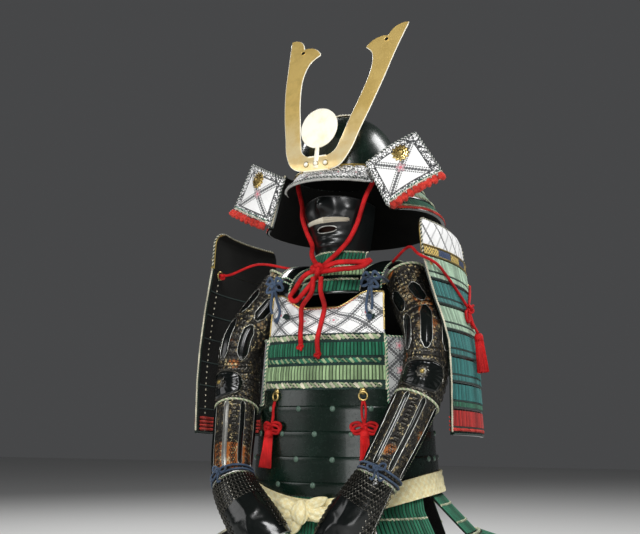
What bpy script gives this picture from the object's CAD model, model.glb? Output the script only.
"""The looks of a suit of laced samurai armour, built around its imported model.

Lengths in the tables are millimetres, as in the part's source, and become metres when a piece is made.
+Z is up, the armour faces -Y and the wearer's left side is at +X.
"""

import math

import bpy
import numpy as np
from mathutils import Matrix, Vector


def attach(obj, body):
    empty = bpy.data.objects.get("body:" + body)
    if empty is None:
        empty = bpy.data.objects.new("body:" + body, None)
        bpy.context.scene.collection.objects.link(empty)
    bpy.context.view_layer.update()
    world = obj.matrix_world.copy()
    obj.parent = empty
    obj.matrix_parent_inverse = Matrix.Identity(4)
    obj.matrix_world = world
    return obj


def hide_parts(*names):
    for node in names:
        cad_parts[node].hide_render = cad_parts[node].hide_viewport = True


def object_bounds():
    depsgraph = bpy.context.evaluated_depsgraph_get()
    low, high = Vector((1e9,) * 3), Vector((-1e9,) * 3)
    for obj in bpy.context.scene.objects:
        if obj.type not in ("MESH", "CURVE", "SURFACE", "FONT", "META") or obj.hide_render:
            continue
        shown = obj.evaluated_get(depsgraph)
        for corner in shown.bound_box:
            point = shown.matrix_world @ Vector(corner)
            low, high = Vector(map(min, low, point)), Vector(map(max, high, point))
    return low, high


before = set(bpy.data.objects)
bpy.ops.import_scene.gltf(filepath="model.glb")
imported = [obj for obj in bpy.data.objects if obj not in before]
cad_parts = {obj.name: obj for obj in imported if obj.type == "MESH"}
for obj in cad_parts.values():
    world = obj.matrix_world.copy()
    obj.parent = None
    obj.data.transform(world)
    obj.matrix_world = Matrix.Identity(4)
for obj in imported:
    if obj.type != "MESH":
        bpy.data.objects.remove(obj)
cad_low, cad_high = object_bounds()
MM = 0.001
END = {1: "left", -1: "right"}
chance = np.random.default_rng(7)


# Camera, light and floor

LENS = 61.875
CAMERA_AT = (864.1, -1882.6, -268.6)
CAMERA_TO = (-44, -21.5, 15)
FLOOR_Z = cad_low[2] - 0.0015


def aim(thing, at, to):
    thing.location = Vector(at) * MM
    direction = (Vector(to) - Vector(at)).to_track_quat("-Z", "Y")
    thing.rotation_euler = direction.to_euler()
    bpy.context.scene.collection.objects.link(thing)


def make_camera():
    data = bpy.data.cameras.new("camera")
    data.lens = LENS
    data.sensor_width = 36
    data.sensor_fit = "HORIZONTAL"
    data.clip_end = 60
    camera = bpy.data.objects.new("camera", data)
    aim(camera, CAMERA_AT, CAMERA_TO)
    bpy.context.scene.camera = camera


# name, place, size and power of each softbox, all turned to the chest
LIGHTS = [
    ("key", (1300, -2300, 1500), 1000, 66),
    ("fill", (-2100, -2000, 500), 1500, 20),
    ("rim_left", (2300, 2100, 2600), 1500, 110),
    ("rim_right", (-2300, 2000, 2400), 1500, 80),
    ("low", (500, -2400, -700), 1100, 20),
]
CHEST = (0, 0, -120)


def make_lights():
    for name, at, size, power in LIGHTS:
        data = bpy.data.lights.new(name, "AREA")
        data.size = size * MM
        data.energy = power
        aim(bpy.data.objects.new(name, data), at, CHEST)
    world = bpy.data.worlds.new("studio")
    world.use_nodes = True
    background = world.node_tree.nodes["Background"]
    background.inputs["Color"].default_value = (0.62, 0.63, 0.65, 1)
    background.inputs["Strength"].default_value = 0.1
    bpy.context.scene.world = world
    bpy.context.scene.view_settings.view_transform = "Standard"


def make_floor():
    reach = 9
    corners = [(x * reach, y * reach, FLOOR_Z) for x, y in ((-1, -1), (1, -1), (1, 1), (-1, 1))]
    mesh = bpy.data.meshes.new("floor")
    mesh.from_pydata(corners, [], [(0, 1, 2, 3)])
    floor = bpy.data.objects.new("floor", mesh)
    bpy.context.scene.collection.objects.link(floor)
    floor.data.materials.append(shader_floor())


# Shader graphs


class Value:
    """A number or place that varies over a surface. Arithmetic on it adds math nodes."""

    def __init__(self, graph, socket):
        self.graph = graph
        self.socket = socket

    def __add__(self, other):
        return self.graph.math("ADD", self, other)

    def __sub__(self, other):
        return self.graph.math("SUBTRACT", self, other)

    def __rsub__(self, other):
        return self.graph.math("SUBTRACT", other, self)

    def __mul__(self, other):
        return self.graph.math("MULTIPLY", self, other)

    def __truediv__(self, other):
        return self.graph.math("DIVIDE", self, other)


class Graph:
    """A material whose nodes are made by short calls. Values, numbers and tuples can be mixed."""

    def __init__(self, name, **settings):
        self.material = bpy.data.materials.new(name)
        self.material.use_nodes = True
        self.tree = self.material.node_tree
        self.skin = self.tree.nodes["Principled BSDF"]
        for key, value in settings.items():
            self.skin.inputs[key.replace("_", " ")].default_value = value

    def put(self, socket, value):
        if isinstance(value, Value):
            self.tree.links.new(value.socket, socket)
        else:
            socket.default_value = value

    def node(self, kind, inputs=(), out=0, **settings):
        node = self.tree.nodes.new(kind)
        for key, value in settings.items():
            setattr(node, key, value)
        for key, value in dict(inputs).items():
            self.put(node.inputs[key], value)
        return Value(self, node.outputs[out])

    def math(self, operation, a, b=0.0, clamp=False):
        return self.node("ShaderNodeMath", {0: a, 1: b}, operation=operation, use_clamp=clamp)

    def sine(self, value, period):
        return self.math("SINE", value * (2 * math.pi / period))

    def length(self, x, y):
        return self.math("SQRT", self.math("POWER", x, 2.0) + self.math("POWER", y, 2.0))

    def mix(self, share, a, b):
        return self.node("ShaderNodeMix", {0: share, 6: a, 7: b}, out=2, data_type="RGBA")

    def blend(self, share, a, b):
        return self.node("ShaderNodeMix", {0: share, 2: a, 3: b}, data_type="FLOAT")

    def steps(self, value, low, high, to_low=0.0, to_high=1.0):
        inputs = {"Value": value, "From Min": low, "From Max": high, "To Min": to_low, "To Max": to_high}
        return self.node("ShaderNodeMapRange", inputs, interpolation_type="SMOOTHSTEP")

    def line(self, far, inner, outer):
        """1 on a line and 0 beside it, by the distance from its middle."""
        return self.steps(far, inner, outer, 1.0, 0.0)

    def noise(self, scale, detail=3.0, rough=0.55, where=None):
        inputs = {"Scale": scale, "Detail": detail, "Roughness": rough}
        if where is not None:
            inputs["Vector"] = where
        return self.node("ShaderNodeTexNoise", inputs)

    def stretched(self, spot, *scale):
        return self.node("ShaderNodeMapping", {"Vector": spot, "Scale": scale})

    def place(self):
        """The point on the object, in metres."""
        return self.node("ShaderNodeTexCoord", out=3)

    def flat(self):
        """The pattern's two coordinates, in millimetres over the cloth or leather."""
        spot = self.node("ShaderNodeUVMap", uv_map="pattern")
        return [self.node("ShaderNodeSeparateXYZ", {0: spot}, out=k) for k in (0, 1)]

    def vector(self, x, y):
        return self.node("ShaderNodeCombineXYZ", {0: x, 1: y})

    def bump(self, height, strength, distance):
        inputs = {"Strength": strength, "Distance": distance, "Height": height}
        self.put(self.skin.inputs["Normal"], self.node("ShaderNodeBump", inputs))

    def colour(self, value):
        self.put(self.skin.inputs["Base Color"], value)

    def rough(self, value):
        self.put(self.skin.inputs["Roughness"], value)

    def near(self, value, period):
        """The distance to the nearest whole period of a coordinate, in its own unit."""
        part = self.math("FRACT", value / period + 0.5)
        return self.math("ABSOLUTE", part - 0.5) * period

    def dots(self, along, aside, spacing, radius):
        """A row of round dots: along the row, and aside from it."""
        return self.line(self.length(self.near(along, spacing), aside), radius * 0.75, radius * 1.25)

    def most(self, *masks):
        found = masks[0]
        for mask in masks[1:]:
            found = self.math("MAXIMUM", found, mask)
        return found


def rgb(red, green, blue, share=1.0):
    """A colour, or a share of its light."""
    return (red * share, green * share, blue * share, 1.0)


def shader_floor():
    g = Graph("floor", Roughness=0.75)
    g.colour(g.mix(g.noise(3.0), rgb(0.66, 0.66, 0.65), rgb(0.72, 0.72, 0.71)))
    return g.material


def lacquer(name, dark, light, gloss):
    """Black lacquer: a slow change of tone, dust in the hollows and a slightly uneven gloss."""
    g = Graph(name, Coat_Weight=0.12, Coat_Roughness=0.06, Specular_IOR_Level=0.36)
    spot = g.place()
    slow = g.noise(9.0, 4.0, 0.6, spot)
    fine = g.noise(160.0, 3.0, 0.6, spot)
    g.colour(g.mix(g.steps(slow, 0.35, 0.7), rgb(*dark), rgb(*light)))
    g.rough(g.blend(g.steps(fine, 0.4, 0.75), gloss, gloss + 0.06))
    g.bump(g.noise(60.0, 2.0, 0.5, spot) + fine * 0.15, 0.012, 0.002)
    return g.material


def metal(name, colour, worn, gloss):
    """Polished metal with fine rubbed scratches and slow tarnish."""
    g = Graph(name, Metallic=1.0)
    spot = g.place()
    slow = g.noise(14.0, 5.0, 0.65, spot)
    g.colour(g.mix(g.steps(slow, 0.38, 0.72), rgb(*colour), rgb(*worn)))
    g.rough(g.blend(g.steps(slow, 0.3, 0.75), gloss, gloss + 0.2))
    g.bump(g.noise(1.0, 4.0, 0.7, g.stretched(spot, 900.0, 90.0, 40.0)), 0.08, 0.0006)
    return g.material


def horn_brass(name):
    """Polished brass that pales towards the riveted base, with rubbed patches."""
    g = Graph(name, Metallic=0.5, Specular_IOR_Level=0.6)
    spot = g.place()
    slow = g.noise(26.0, 5.0, 0.62, spot)
    up = g.node("ShaderNodeSeparateXYZ", {0: spot}, out=2)
    brass = g.mix(g.steps(slow, 0.4, 0.68), rgb(0.92, 0.66, 0.22), rgb(0.74, 0.52, 0.16))
    pale = g.mix(g.steps(slow, 0.4, 0.7), rgb(1.0, 0.82, 0.46), rgb(0.9, 0.66, 0.28))
    g.colour(g.mix(g.steps(up + slow * 0.06, 0.235, 0.34), pale, brass))
    g.rough(g.blend(g.steps(slow, 0.3, 0.75), 0.3, 0.46))
    g.bump(g.noise(1.0, 3.0, 0.6, g.stretched(spot, 700.0, 60.0, 30.0)), 0.02, 0.0004)
    return g.material


def pale_gilding(name):
    """Matt pale gilding, worn a little yellow."""
    g = Graph(name, Metallic=0.1, Coat_Weight=0.2)
    spot = g.place()
    slow = g.noise(40.0, 5.0, 0.6, spot)
    g.colour(g.mix(g.steps(slow, 0.45, 0.75), rgb(1.0, 0.97, 0.84), rgb(0.95, 0.86, 0.62)))
    g.rough(g.blend(slow, 0.34, 0.55))
    g.bump(g.noise(500.0, 3.0, 0.6, spot), 0.06, 0.0005)
    return g.material


def silk(name, colour, pitch=0.0, sheen=0.1, weave=1.6, valley=0.12):
    """Flat silk braid. Each lace of the given pitch has a tone of its own, and its valleys are darker."""
    g = Graph(name, Sheen_Weight=sheen, Sheen_Roughness=0.45, Roughness=0.66, Specular_IOR_Level=0.22)
    across, along = g.flat()
    spot = g.place()
    tone = g.noise(34.0, 3.0, 0.6, spot)
    if pitch:
        lace = g.math("FLOOR", across / pitch)
        own = g.node("ShaderNodeTexWhiteNoise", {"W": lace}, noise_dimensions="1D")
        tone = tone * 0.6 + own * 0.4
    aside = g.near(across, pitch or 4.0)
    chevron = g.sine(along + aside, weave)
    light = rgb(*(min(1.0, c * 1.3 + 0.012) for c in colour))
    shade = g.math("ADD", chevron * 0.09, tone, clamp=True)
    tinted = g.mix(g.steps(shade, 0.22, 0.8), rgb(*colour, 0.52), light)
    if pitch:
        tinted = g.mix(g.steps(aside, 0.3, 1.5), rgb(*colour, valley), tinted)
    g.colour(tinted)
    g.bump(chevron + g.noise(900.0, 2.0, 0.5, spot) * 1.2, 0.35, 0.0006)
    return g.material


DEERSKIN = (0.9, 0.9, 0.89)
SHADED_SKIN = (0.42, 0.43, 0.42)
INK = (0.025, 0.028, 0.032)


def stencil_lines(g, x, y, cell, kind):
    """The dotted lines that cross between the cells."""
    px, py = cell
    run, fall = x / px + y / py, x / px - y / py
    across = px * py / math.hypot(px, py)
    long = math.hypot(px, py) / 2
    lines = []
    for a, b in ((run, fall), (fall, run)):
        aside = (g.math("ABSOLUTE", a) if kind == "saltire" else g.near(a, 1.0)) * across
        along = b * long
        lines.append(g.dots(along, aside, 5.4, 2.9))
        lines.append(g.dots(along, aside - 5.2, 3.6, 1.3))
    if kind == "zigzag":
        lines = [lines[0], g.steps(g.near(fall, 0.5), 0.03, 0.06, 0.45, 0.0)]
    if kind == "hexagon":
        lines.append(g.dots(y, g.near(x + px / 2, px), 5.0, 2.0))
    return g.most(*lines)


def stencil_flower(g, tint, x, y, size, petal_colour):
    """Five petals with an inked outline round a pink heart."""
    far = g.length(x, y)
    angle = g.math("ARCTAN2", y, x) * 5.0
    edge = (g.math("COSINE", angle) * 0.24 + 1.0) * size
    petal = g.line(far - edge, -0.6, 0.2)
    ring = g.line(g.math("ABSOLUTE", far - edge), 0.35, 0.85)
    tint = g.mix(petal * 0.6, tint, rgb(*petal_colour))
    tint = g.mix(ring * 0.8, tint, rgb(*INK))
    return g.mix(g.line(far, size * 0.28, size * 0.4), tint, rgb(0.62, 0.16, 0.2))


def stencil_border(g, tint, x, y, width, height, border):
    """Vines, leaves and beads in a band along the edges, inside a dark line."""
    to_side = width / 2 - g.math("ABSOLUTE", x)
    to_end = height / 2 - g.math("ABSOLUTE", y)
    edge = g.math("MINIMUM", to_side, to_end)
    along = g.math("LESS_THAN", to_side, to_end) * y + g.math("LESS_THAN", to_end, to_side) * x
    beads = g.dots(along, edge - border * 0.9, 4.6, 1.5)
    where = g.vector(x, y)
    cells = {"Vector": where, "Scale": 0.17, "Randomness": 0.8}
    vine = g.line(g.node("ShaderNodeTexVoronoi", cells, feature="DISTANCE_TO_EDGE"), 0.05, 0.12)
    leaf = g.steps(g.noise(0.22, 1.0, 0.5, where), 0.6, 0.64)
    trim = g.mix(g.most(vine, leaf, beads), rgb(*DEERSKIN), rgb(0.03, 0.032, 0.035))
    tint = g.mix(g.line(edge, border * 0.95, border * 1.05), tint, trim)
    return g.mix(g.line(g.math("ABSOLUTE", edge - border), 0.5, 0.9), tint, rgb(*INK))


def stencil(name, width, height, kind, ground=DEERSKIN, border=9.0, cell=(34.0, 30.0), age=0.35):
    """White deerskin with stencilled dotted lines, flowers in their cells and a scrolled border."""
    g = Graph(name, Roughness=0.72, Sheen_Weight=0.15)
    x, y = g.flat()
    spot = g.place()
    grain = g.noise(260.0, 4.0, 0.6, spot)
    cloudy = g.noise(22.0, 4.0, 0.6, spot)
    base = g.mix(g.steps(cloudy, 0.36, 0.75), rgb(*ground), rgb(*ground, 1 - age))
    base = g.mix(g.steps(grain, 0.5, 0.8, 0.0, 0.25), base, rgb(0.42, 0.42, 0.4))
    petal_colour = (0.6, 0.6, 0.6) if kind == "dotted" else (0.66, 0.4, 0.42)
    if kind == "saltire":
        cell = width * 0.86, height * 0.86
    tint = g.mix(stencil_lines(g, x, y, cell, kind) * 0.92, base, rgb(*INK))
    if kind == "saltire":
        tint = stencil_flower(g, tint, x, y, min(width, height) * 0.085, petal_colour)
    elif kind != "zigzag":
        in_x = (g.math("FRACT", x / cell[0]) - 0.5) * cell[0]
        in_y = (g.math("FRACT", y / cell[1] + 0.5) - 0.5) * cell[1]
        tint = stencil_flower(g, tint, in_x, in_y, min(cell) * 0.17, petal_colour)
    if border:
        tint = stencil_border(g, tint, x, y, width, height, border)
    g.colour(tint)
    g.bump(grain + g.noise(900.0, 2.0, 0.5, spot) * 0.5, 0.25, 0.0008)
    return g.material


def brocade(name, ground, figure, accent, cell, accent_share):
    """Woven figures on a darker ground, with patches of another colour."""
    g = Graph(name, Roughness=0.66, Sheen_Weight=0.08)
    x, y = g.flat()
    spot = g.place()
    swirl = g.noise(95.0, 2.0, 0.5, spot)
    bent_x, bent_y = x + swirl * (cell * 0.5), y + swirl * (cell * 0.35)
    wave = g.sine(bent_x, cell) * g.math("COSINE", bent_y * (2 * math.pi / cell))
    small = g.sine(bent_x, cell / 3) * g.sine(bent_y, cell / 3)
    drawn = g.steps(wave + small * 0.55, 0.02, 0.22)
    patch = g.steps(g.noise(24.0, 2.0, 0.5, spot), accent_share, accent_share + 0.05)
    body = g.mix(drawn, rgb(*ground), rgb(*figure))
    body = g.mix(patch * 0.85, body, g.mix(drawn, rgb(*accent), rgb(*figure)))
    worn = g.steps(g.noise(60.0, 5.0, 0.7, spot), 0.3, 0.75, 0.72, 1.1)
    g.colour(g.mix(worn, rgb(*ground, 0.35), body))
    g.bump((g.sine(y, 0.9) + g.sine(x, 0.9)) * 0.35 + drawn * 1.1, 0.4, 0.0006)
    return g.material


def sleeve_brocade(name):
    """Dark worn silk with broken gold leaves, and a few orange and cream patches."""
    g = Graph(name, Roughness=0.6, Sheen_Weight=0.04)
    x, y = g.flat()
    spot = g.place()
    leaf = g.steps(g.noise(120.0, 2.0, 0.6, spot), 0.54, 0.6)
    vein = g.steps(g.noise(420.0, 2.0, 0.5, spot), 0.42, 0.5)
    drawn = leaf * vein
    tone = g.noise(17.0, 3.0, 0.55, spot)
    gold = g.mix(g.steps(tone, 0.42, 0.56), rgb(0.26, 0.19, 0.09), rgb(0.66, 0.54, 0.28))
    orange = g.steps(g.noise(13.0, 1.0, 0.5, spot), 0.62, 0.65)
    cloth = g.mix(drawn, rgb(0.008, 0.0065, 0.005), gold)
    cream = g.mix(leaf, rgb(0.3, 0.2, 0.09), rgb(0.62, 0.52, 0.33))
    cloth = g.mix(g.steps(tone, 0.6, 0.63) * 0.9, cloth, cream)
    g.colour(g.mix(orange * 0.75, cloth, g.mix(drawn, rgb(0.5, 0.14, 0.015), gold)))
    g.bump(g.sine(x + y, 0.9) * 0.4 + drawn, 0.4, 0.0006)
    return g.material


def checker(name):
    """The gilt and slate squares of the band under a guard's cap."""
    g = Graph(name, Roughness=0.38, Coat_Weight=0.2)
    x, y = g.flat()
    square = 52.4
    odd = g.math("LESS_THAN", g.math("FRACT", (x + 2.5 * square) / (square * 2)), 0.5)
    bent = x * 0.75 + g.noise(70.0, 2.0, 0.5, g.place()) * 9.0
    drawn = g.steps(g.math("SINE", bent) * g.math("SINE", y * 0.8), 0.05, 0.25)
    gilt = g.mix(drawn, rgb(0.72, 0.52, 0.14), rgb(0.12, 0.09, 0.04))
    slate = g.mix(drawn, rgb(0.025, 0.045, 0.1), rgb(0.07, 0.1, 0.19))
    rule = g.line(g.near(x + square / 2, square), 1.0, 1.6)
    g.colour(g.mix(rule, g.mix(odd, slate, gilt), rgb(0.02, 0.02, 0.02)))
    g.bump(drawn, 0.5, 0.0006)
    return g.material


def hair(name, colour):
    """Hair with streaks along its length."""
    g = Graph(name, Roughness=0.55, Sheen_Weight=0.4)
    x, y = g.flat()
    streak = g.node("ShaderNodeTexNoise",
                    {"Vector": g.vector(x * 1.2, y * 0.05), "Scale": 1.0, "Detail": 3.0})
    g.colour(g.mix(streak, rgb(*colour, 0.6), rgb(*colour)))
    return g.material


def cloth_plain(name, colour, rough=0.85):
    """Lining and edging cloth with a plain weave."""
    g = Graph(name, Roughness=rough, Sheen_Weight=0.02, Specular_IOR_Level=0.08)
    x, y = g.flat()
    faded = g.steps(g.noise(30.0, 4.0, 0.6, g.place()), 0.3, 0.75)
    g.colour(g.mix(faded, rgb(*colour), rgb(*colour, 0.55)))
    g.bump(g.math("SINE", x * 7.0) * g.math("SINE", y * 7.0), 0.35, 0.0005)
    return g.material


# Colours from the photograph, as linear light
DARK_GREEN = (0.008, 0.13, 0.065)
LIGHT_GREEN = (0.28, 0.41, 0.21)
PALE_GREEN = (0.36, 0.52, 0.37)
TEAL = (0.02, 0.16, 0.15)
CREAM = (0.66, 0.62, 0.47)
CORAL = (0.4, 0.014, 0.01)
RED = (0.5, 0.0015, 0.003)
INDIGO = (0.045, 0.075, 0.13)

LACE = 6.4  # the pitch of one lace in the rows


def make_materials():
    kit = {
        "lacquer": lacquer("black_lacquer", (0.0015, 0.006, 0.0035), (0.004, 0.014, 0.009), 0.24),
        "gloss": lacquer("gloss_lacquer", (0.002, 0.003, 0.003), (0.005, 0.007, 0.006), 0.2),
        "mask_black": lacquer("mask_black", (0.002, 0.003, 0.003), (0.005, 0.006, 0.006), 0.3),
        "lining": cloth_plain("dark_lining", (0.006, 0.006, 0.005)),
        "iron": metal("mail_iron", (0.11, 0.105, 0.09), (0.03, 0.028, 0.024), 0.28),
        "rivet": lacquer("rivet_lacquer", (0.055, 0.1, 0.075), (0.1, 0.16, 0.12), 0.3),
        "steel": metal("bright_splint", (0.62, 0.62, 0.58), (0.28, 0.28, 0.26), 0.32),
        "gilt": metal("gilt", (0.72, 0.55, 0.22), (0.4, 0.28, 0.09), 0.2),
        "horn": horn_brass("crest_brass"),
        "pale_gilt": pale_gilding("pale_gilt"),
        "old_gilt": metal("old_gilt", (0.36, 0.27, 0.09), (0.16, 0.11, 0.04), 0.34),
        "dark_lace": silk("dark_green_lace", DARK_GREEN, LACE),
        "light_lace": silk("light_green_lace", LIGHT_GREEN, LACE),
        "pale_lace": silk("pale_green_lace", PALE_GREEN, LACE, valley=0.6),
        "teal_lace": silk("teal_lace", TEAL, LACE, valley=0.6),
        "coral_lace": silk("coral_lace", CORAL, LACE, valley=0.5),
        "cream_twist": silk("cream_twist", CREAM, 0.0, 0.1, 1.1),
        "green_twist": silk("green_twist", (0.02, 0.17, 0.09), 0.0, 0.1, 1.1),
        "sage_twist": silk("sage_twist", (0.33, 0.43, 0.24), 0.0, 0.1, 1.1),
        "coral_twist": silk("coral_twist", (0.6, 0.035, 0.02), 0.0, 0.1, 1.4),
        "red_cord": silk("red_cord_silk", RED, 0.0, 0.01, 2.2),
        "tassel_silk": silk("tassel_silk", (0.5, 0.0012, 0.0015), 0.0, 0.01, 90.0),
        "blue_cord": silk("blue_cord_silk", INDIGO, 0.0, 0.15, 1.8),
        "black_line": silk("dark_line", (0.006, 0.028, 0.022), 0.0, 0.05, 1.2),
        "grey_rim": silk("grey_rim", (0.5, 0.5, 0.47), 0.0, 0.1, 1.2),
        "cream_edge": cloth_plain("cream_edge", (0.6, 0.55, 0.4)),
        "hair": hair("horse_hair", (0.72, 0.66, 0.52)),
        "mouth": cloth_plain("mask_mouth_brown", (0.03, 0.012, 0.008), 0.5),
        "sleeve": sleeve_brocade("sleeve_brocade"),
        "sash": brocade("sash_brocade", (0.93, 0.8, 0.42), (0.99, 0.92, 0.6), (0.9, 0.72, 0.34), 15.0, 0.7),
        "checker": checker("checker_band"),
    }
    return kit


# Tables and small forms


def read(table, place):
    """The columns of a table at places of its first column, straight between the rows."""
    names = list(table)
    key = np.asarray(table[names[0]], float)
    order = np.argsort(key)
    return [np.interp(place, key[order], np.asarray(table[n], float)[order]) for n in names[1:]]


def bell(x, width):
    return np.exp(-((np.asarray(x, float) / width) ** 2))


def mix(a, b, t):
    return a + (b - a) * t


def ease(x, low, high):
    t = np.clip((np.asarray(x, float) - low) / (high - low), 0, 1)
    return t * t * (3 - 2 * t)


def vec(x, y, z):
    return np.stack(np.broadcast_arrays(*(np.asarray(c, float) for c in (x, y, z))), -1)


def unit(v):
    return v / np.maximum(np.linalg.norm(v, axis=-1, keepdims=True), 1e-9)


def normal_of(surface, u, v, flip=False):
    u, v = np.asarray(u, float), np.asarray(v, float)
    step = 0.002
    across = surface(u + step, v) - surface(u - step, v)
    along = surface(u, v + step) - surface(u, v - step)
    return unit(np.cross(along, across)) * (-1 if flip else 1)


def raised(surface, height, flip=False):
    def found(u, v):
        far = height(u, v) if callable(height) else np.full(np.shape(u), float(height))
        return surface(u, v) + normal_of(surface, u, v, flip) * far[..., None]
    return found


def lapped(surface, places, heights):
    """The surface raised by heights at places of its second coordinate."""
    table = {"at": places, "out": heights}
    return raised(surface, lambda u, v: read(table, v)[0])


# Mesh making


class Soup:
    """Verts, faces, pattern coordinates and material slots that become one object."""

    def __init__(self):
        self.points = []
        self.faces = []
        self.flat = []
        self.slots = []
        self.count = 0

    def add(self, points, faces, flat, slot):
        """faces is an array of quads or triangles, and flat the pattern coordinates of their corners."""
        faces = np.asarray(faces)
        self.points.append(np.asarray(points, float).reshape(-1, 3))
        self.faces.append(faces + self.count)
        self.flat.append(np.asarray(flat, float).reshape(-1, 2))
        self.slots.append(np.broadcast_to(np.asarray(slot), (len(faces),)))
        self.count += len(self.points[-1])

    def add_more(self, faces, slot):
        """Adds plain faces on the points that came last."""
        self.faces.append(faces + self.count - len(self.points[-1]))
        self.flat.append(np.zeros((faces.size, 2)))
        self.slots.append(np.full(len(faces), slot))

    def build(self, name, materials, sharp, move):
        points = np.concatenate(self.points)
        if move is not None:
            points = move(points)
        mesh = bpy.data.meshes.new(name)
        sizes = np.concatenate([np.full(len(f), f.shape[1]) for f in self.faces])
        corners = np.concatenate([f.ravel() for f in self.faces])
        mesh.vertices.add(len(points))
        mesh.vertices.foreach_set("co", (points * MM).astype(np.float32).ravel())
        mesh.loops.add(len(corners))
        mesh.loops.foreach_set("vertex_index", corners.astype(np.int32))
        mesh.polygons.add(len(sizes))
        starts = np.concatenate([[0], np.cumsum(sizes)[:-1]])
        mesh.polygons.foreach_set("loop_start", starts.astype(np.int32))
        mesh.polygons.foreach_set("loop_total", sizes.astype(np.int32))
        layer = mesh.uv_layers.new(name="pattern")
        layer.uv.foreach_set("vector", np.concatenate(self.flat).astype(np.float32).ravel())
        mesh.polygons.foreach_set("material_index", np.concatenate(self.slots).astype(np.int32))
        mesh.update(calc_edges=True)
        mesh.validate()
        mesh.polygons.foreach_set("use_smooth", np.ones(len(mesh.polygons), bool))
        mesh.set_sharp_from_angle(angle=math.radians(sharp))
        thing = bpy.data.objects.new(name, mesh)
        bpy.context.scene.collection.objects.link(thing)
        for material in materials:
            mesh.materials.append(KIT[material] if isinstance(material, str) else material)
        return thing


def quads(rows, columns, wrap):
    """The quads of a grid, and the row and column of each corner."""
    j, i = np.meshgrid(np.arange(rows - 1), np.arange(columns if wrap else columns - 1), indexing="ij")
    j, i = j.ravel(), i.ravel()
    cj = np.stack([j, j + 1, j + 1, j], 1)
    ci = np.stack([i, i, i + 1, i + 1], 1)
    return cj * columns + ci % columns, cj, ci


def signed(points, faces):
    a, b, c = (points[faces[:, k]] for k in (0, 1, 2))
    total = (a * np.cross(b, c)).sum()
    if faces.shape[1] == 4:
        d = points[faces[:, 3]]
        total += (a * np.cross(c, d)).sum()
    return total


def wall(soup, plain, us, vs, thickness, outer=None, wrap=False, size=(1.0, 1.0), origin=(0.5, 0.5),
         slot=0, inside=1, edge=None, row_slots=None, flip=False):
    """A closed wall under plain(u, v). Its outside may be raised; size is its pattern's width and height."""
    us, vs = np.asarray(us, float), np.asarray(vs, float)
    columns = us[:-1] if wrap else us
    u, v = np.meshgrid(columns, vs)
    out = (outer or plain)(u, v)
    back = plain(u, v) - normal_of(plain, u, v, flip) * thickness
    rows, cols = u.shape
    points = np.concatenate([out.reshape(-1, 3), back.reshape(-1, 3)])
    half = rows * cols
    faces, cj, ci = quads(rows, cols, wrap)
    spot = np.stack([(us[ci] - origin[0]) * size[0], (origin[1] - vs[cj]) * size[1]], -1)
    outer_slots = np.full(len(faces), slot) if row_slots is None else np.asarray(row_slots)[cj[:, 0]]
    parts = [(faces, spot, outer_slots), (faces[:, ::-1] + half, spot[:, ::-1], np.full(len(faces), inside))]
    edge = inside if edge is None else edge

    def strip(line, corner_j, corner_i):
        a = np.stack([line[:-1], line[1:], line[1:] + half, line[:-1] + half], 1)
        flat = np.stack([(us[corner_i] - origin[0]) * size[0], (origin[1] - vs[corner_j]) * size[1]], -1)
        quad = np.stack([flat[:-1], flat[1:], flat[1:], flat[:-1]], 1)
        return a, quad, np.full(len(a), edge)

    around = np.arange(cols + (1 if wrap else 0))
    low = strip(around % cols, np.zeros_like(around), around)
    high = strip((rows - 1) * cols + around % cols, np.full_like(around, rows - 1), around)
    parts.append(low)
    parts.append((high[0][:, ::-1], high[1][:, ::-1], high[2]))
    if not wrap:
        up = np.arange(rows)
        left = strip(up * cols, up, np.zeros_like(up))
        right = strip(up * cols + cols - 1, up, np.full_like(up, cols - 1))
        parts.append((left[0][:, ::-1], left[1][:, ::-1], left[2]))
        parts.append(right)
    turned = sum(signed(points, p[0]) for p in parts) < 0
    for n, (face, flat, slots) in enumerate(parts):
        if turned:
            face, flat = face[:, ::-1], flat[:, ::-1]
        soup.add(points if n == 0 else np.zeros((0, 3)), face - (0 if n == 0 else len(points)), flat, slots)


def span(low, high, count):
    return np.linspace(low, high, count + 1)


def smooth_line(points, count, closed=False):
    """A centripetal curve through points, cut into equal lengths."""
    p = np.asarray(points, float)
    n = len(p)
    fine = []
    stretches = n if closed else n - 1
    for i in range(stretches):
        p1, p2 = p[i], p[(i + 1) % n]
        p0 = p[i - 1] if (i > 0 or closed) else 2 * p1 - p2
        p3 = p[(i + 2) % n] if (i + 2 < n or closed) else 2 * p2 - p1
        d0, d1, d2 = (max(np.linalg.norm(b - a) ** 0.5, 1e-4) for a, b in ((p0, p1), (p1, p2), (p2, p3)))
        m1 = ((p1 - p0) / d0 - (p2 - p0) / (d0 + d1) + (p2 - p1) / d1) * d1
        m2 = ((p2 - p1) / d1 - (p3 - p1) / (d1 + d2) + (p3 - p2) / d2) * d1
        t = np.linspace(0, 1, 17)[:-1, None]
        fine.append(p1 + m1 * t + (3 * (p2 - p1) - 2 * m1 - m2) * t**2 + (2 * (p1 - p2) + m1 + m2) * t**3)
    fine.append(p[:1] if closed else p[-1:])
    fine = np.concatenate(fine)
    run = np.concatenate([[0], np.cumsum(np.linalg.norm(np.diff(fine, axis=0), axis=1))])
    at = np.linspace(0, run[-1], count + 1)
    line = np.stack([np.interp(at, run, fine[:, k]) for k in range(3)], -1)
    return line[:-1] if closed else line


def length_of(line):
    return float(np.linalg.norm(np.diff(line, axis=0), axis=1).sum())


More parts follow.
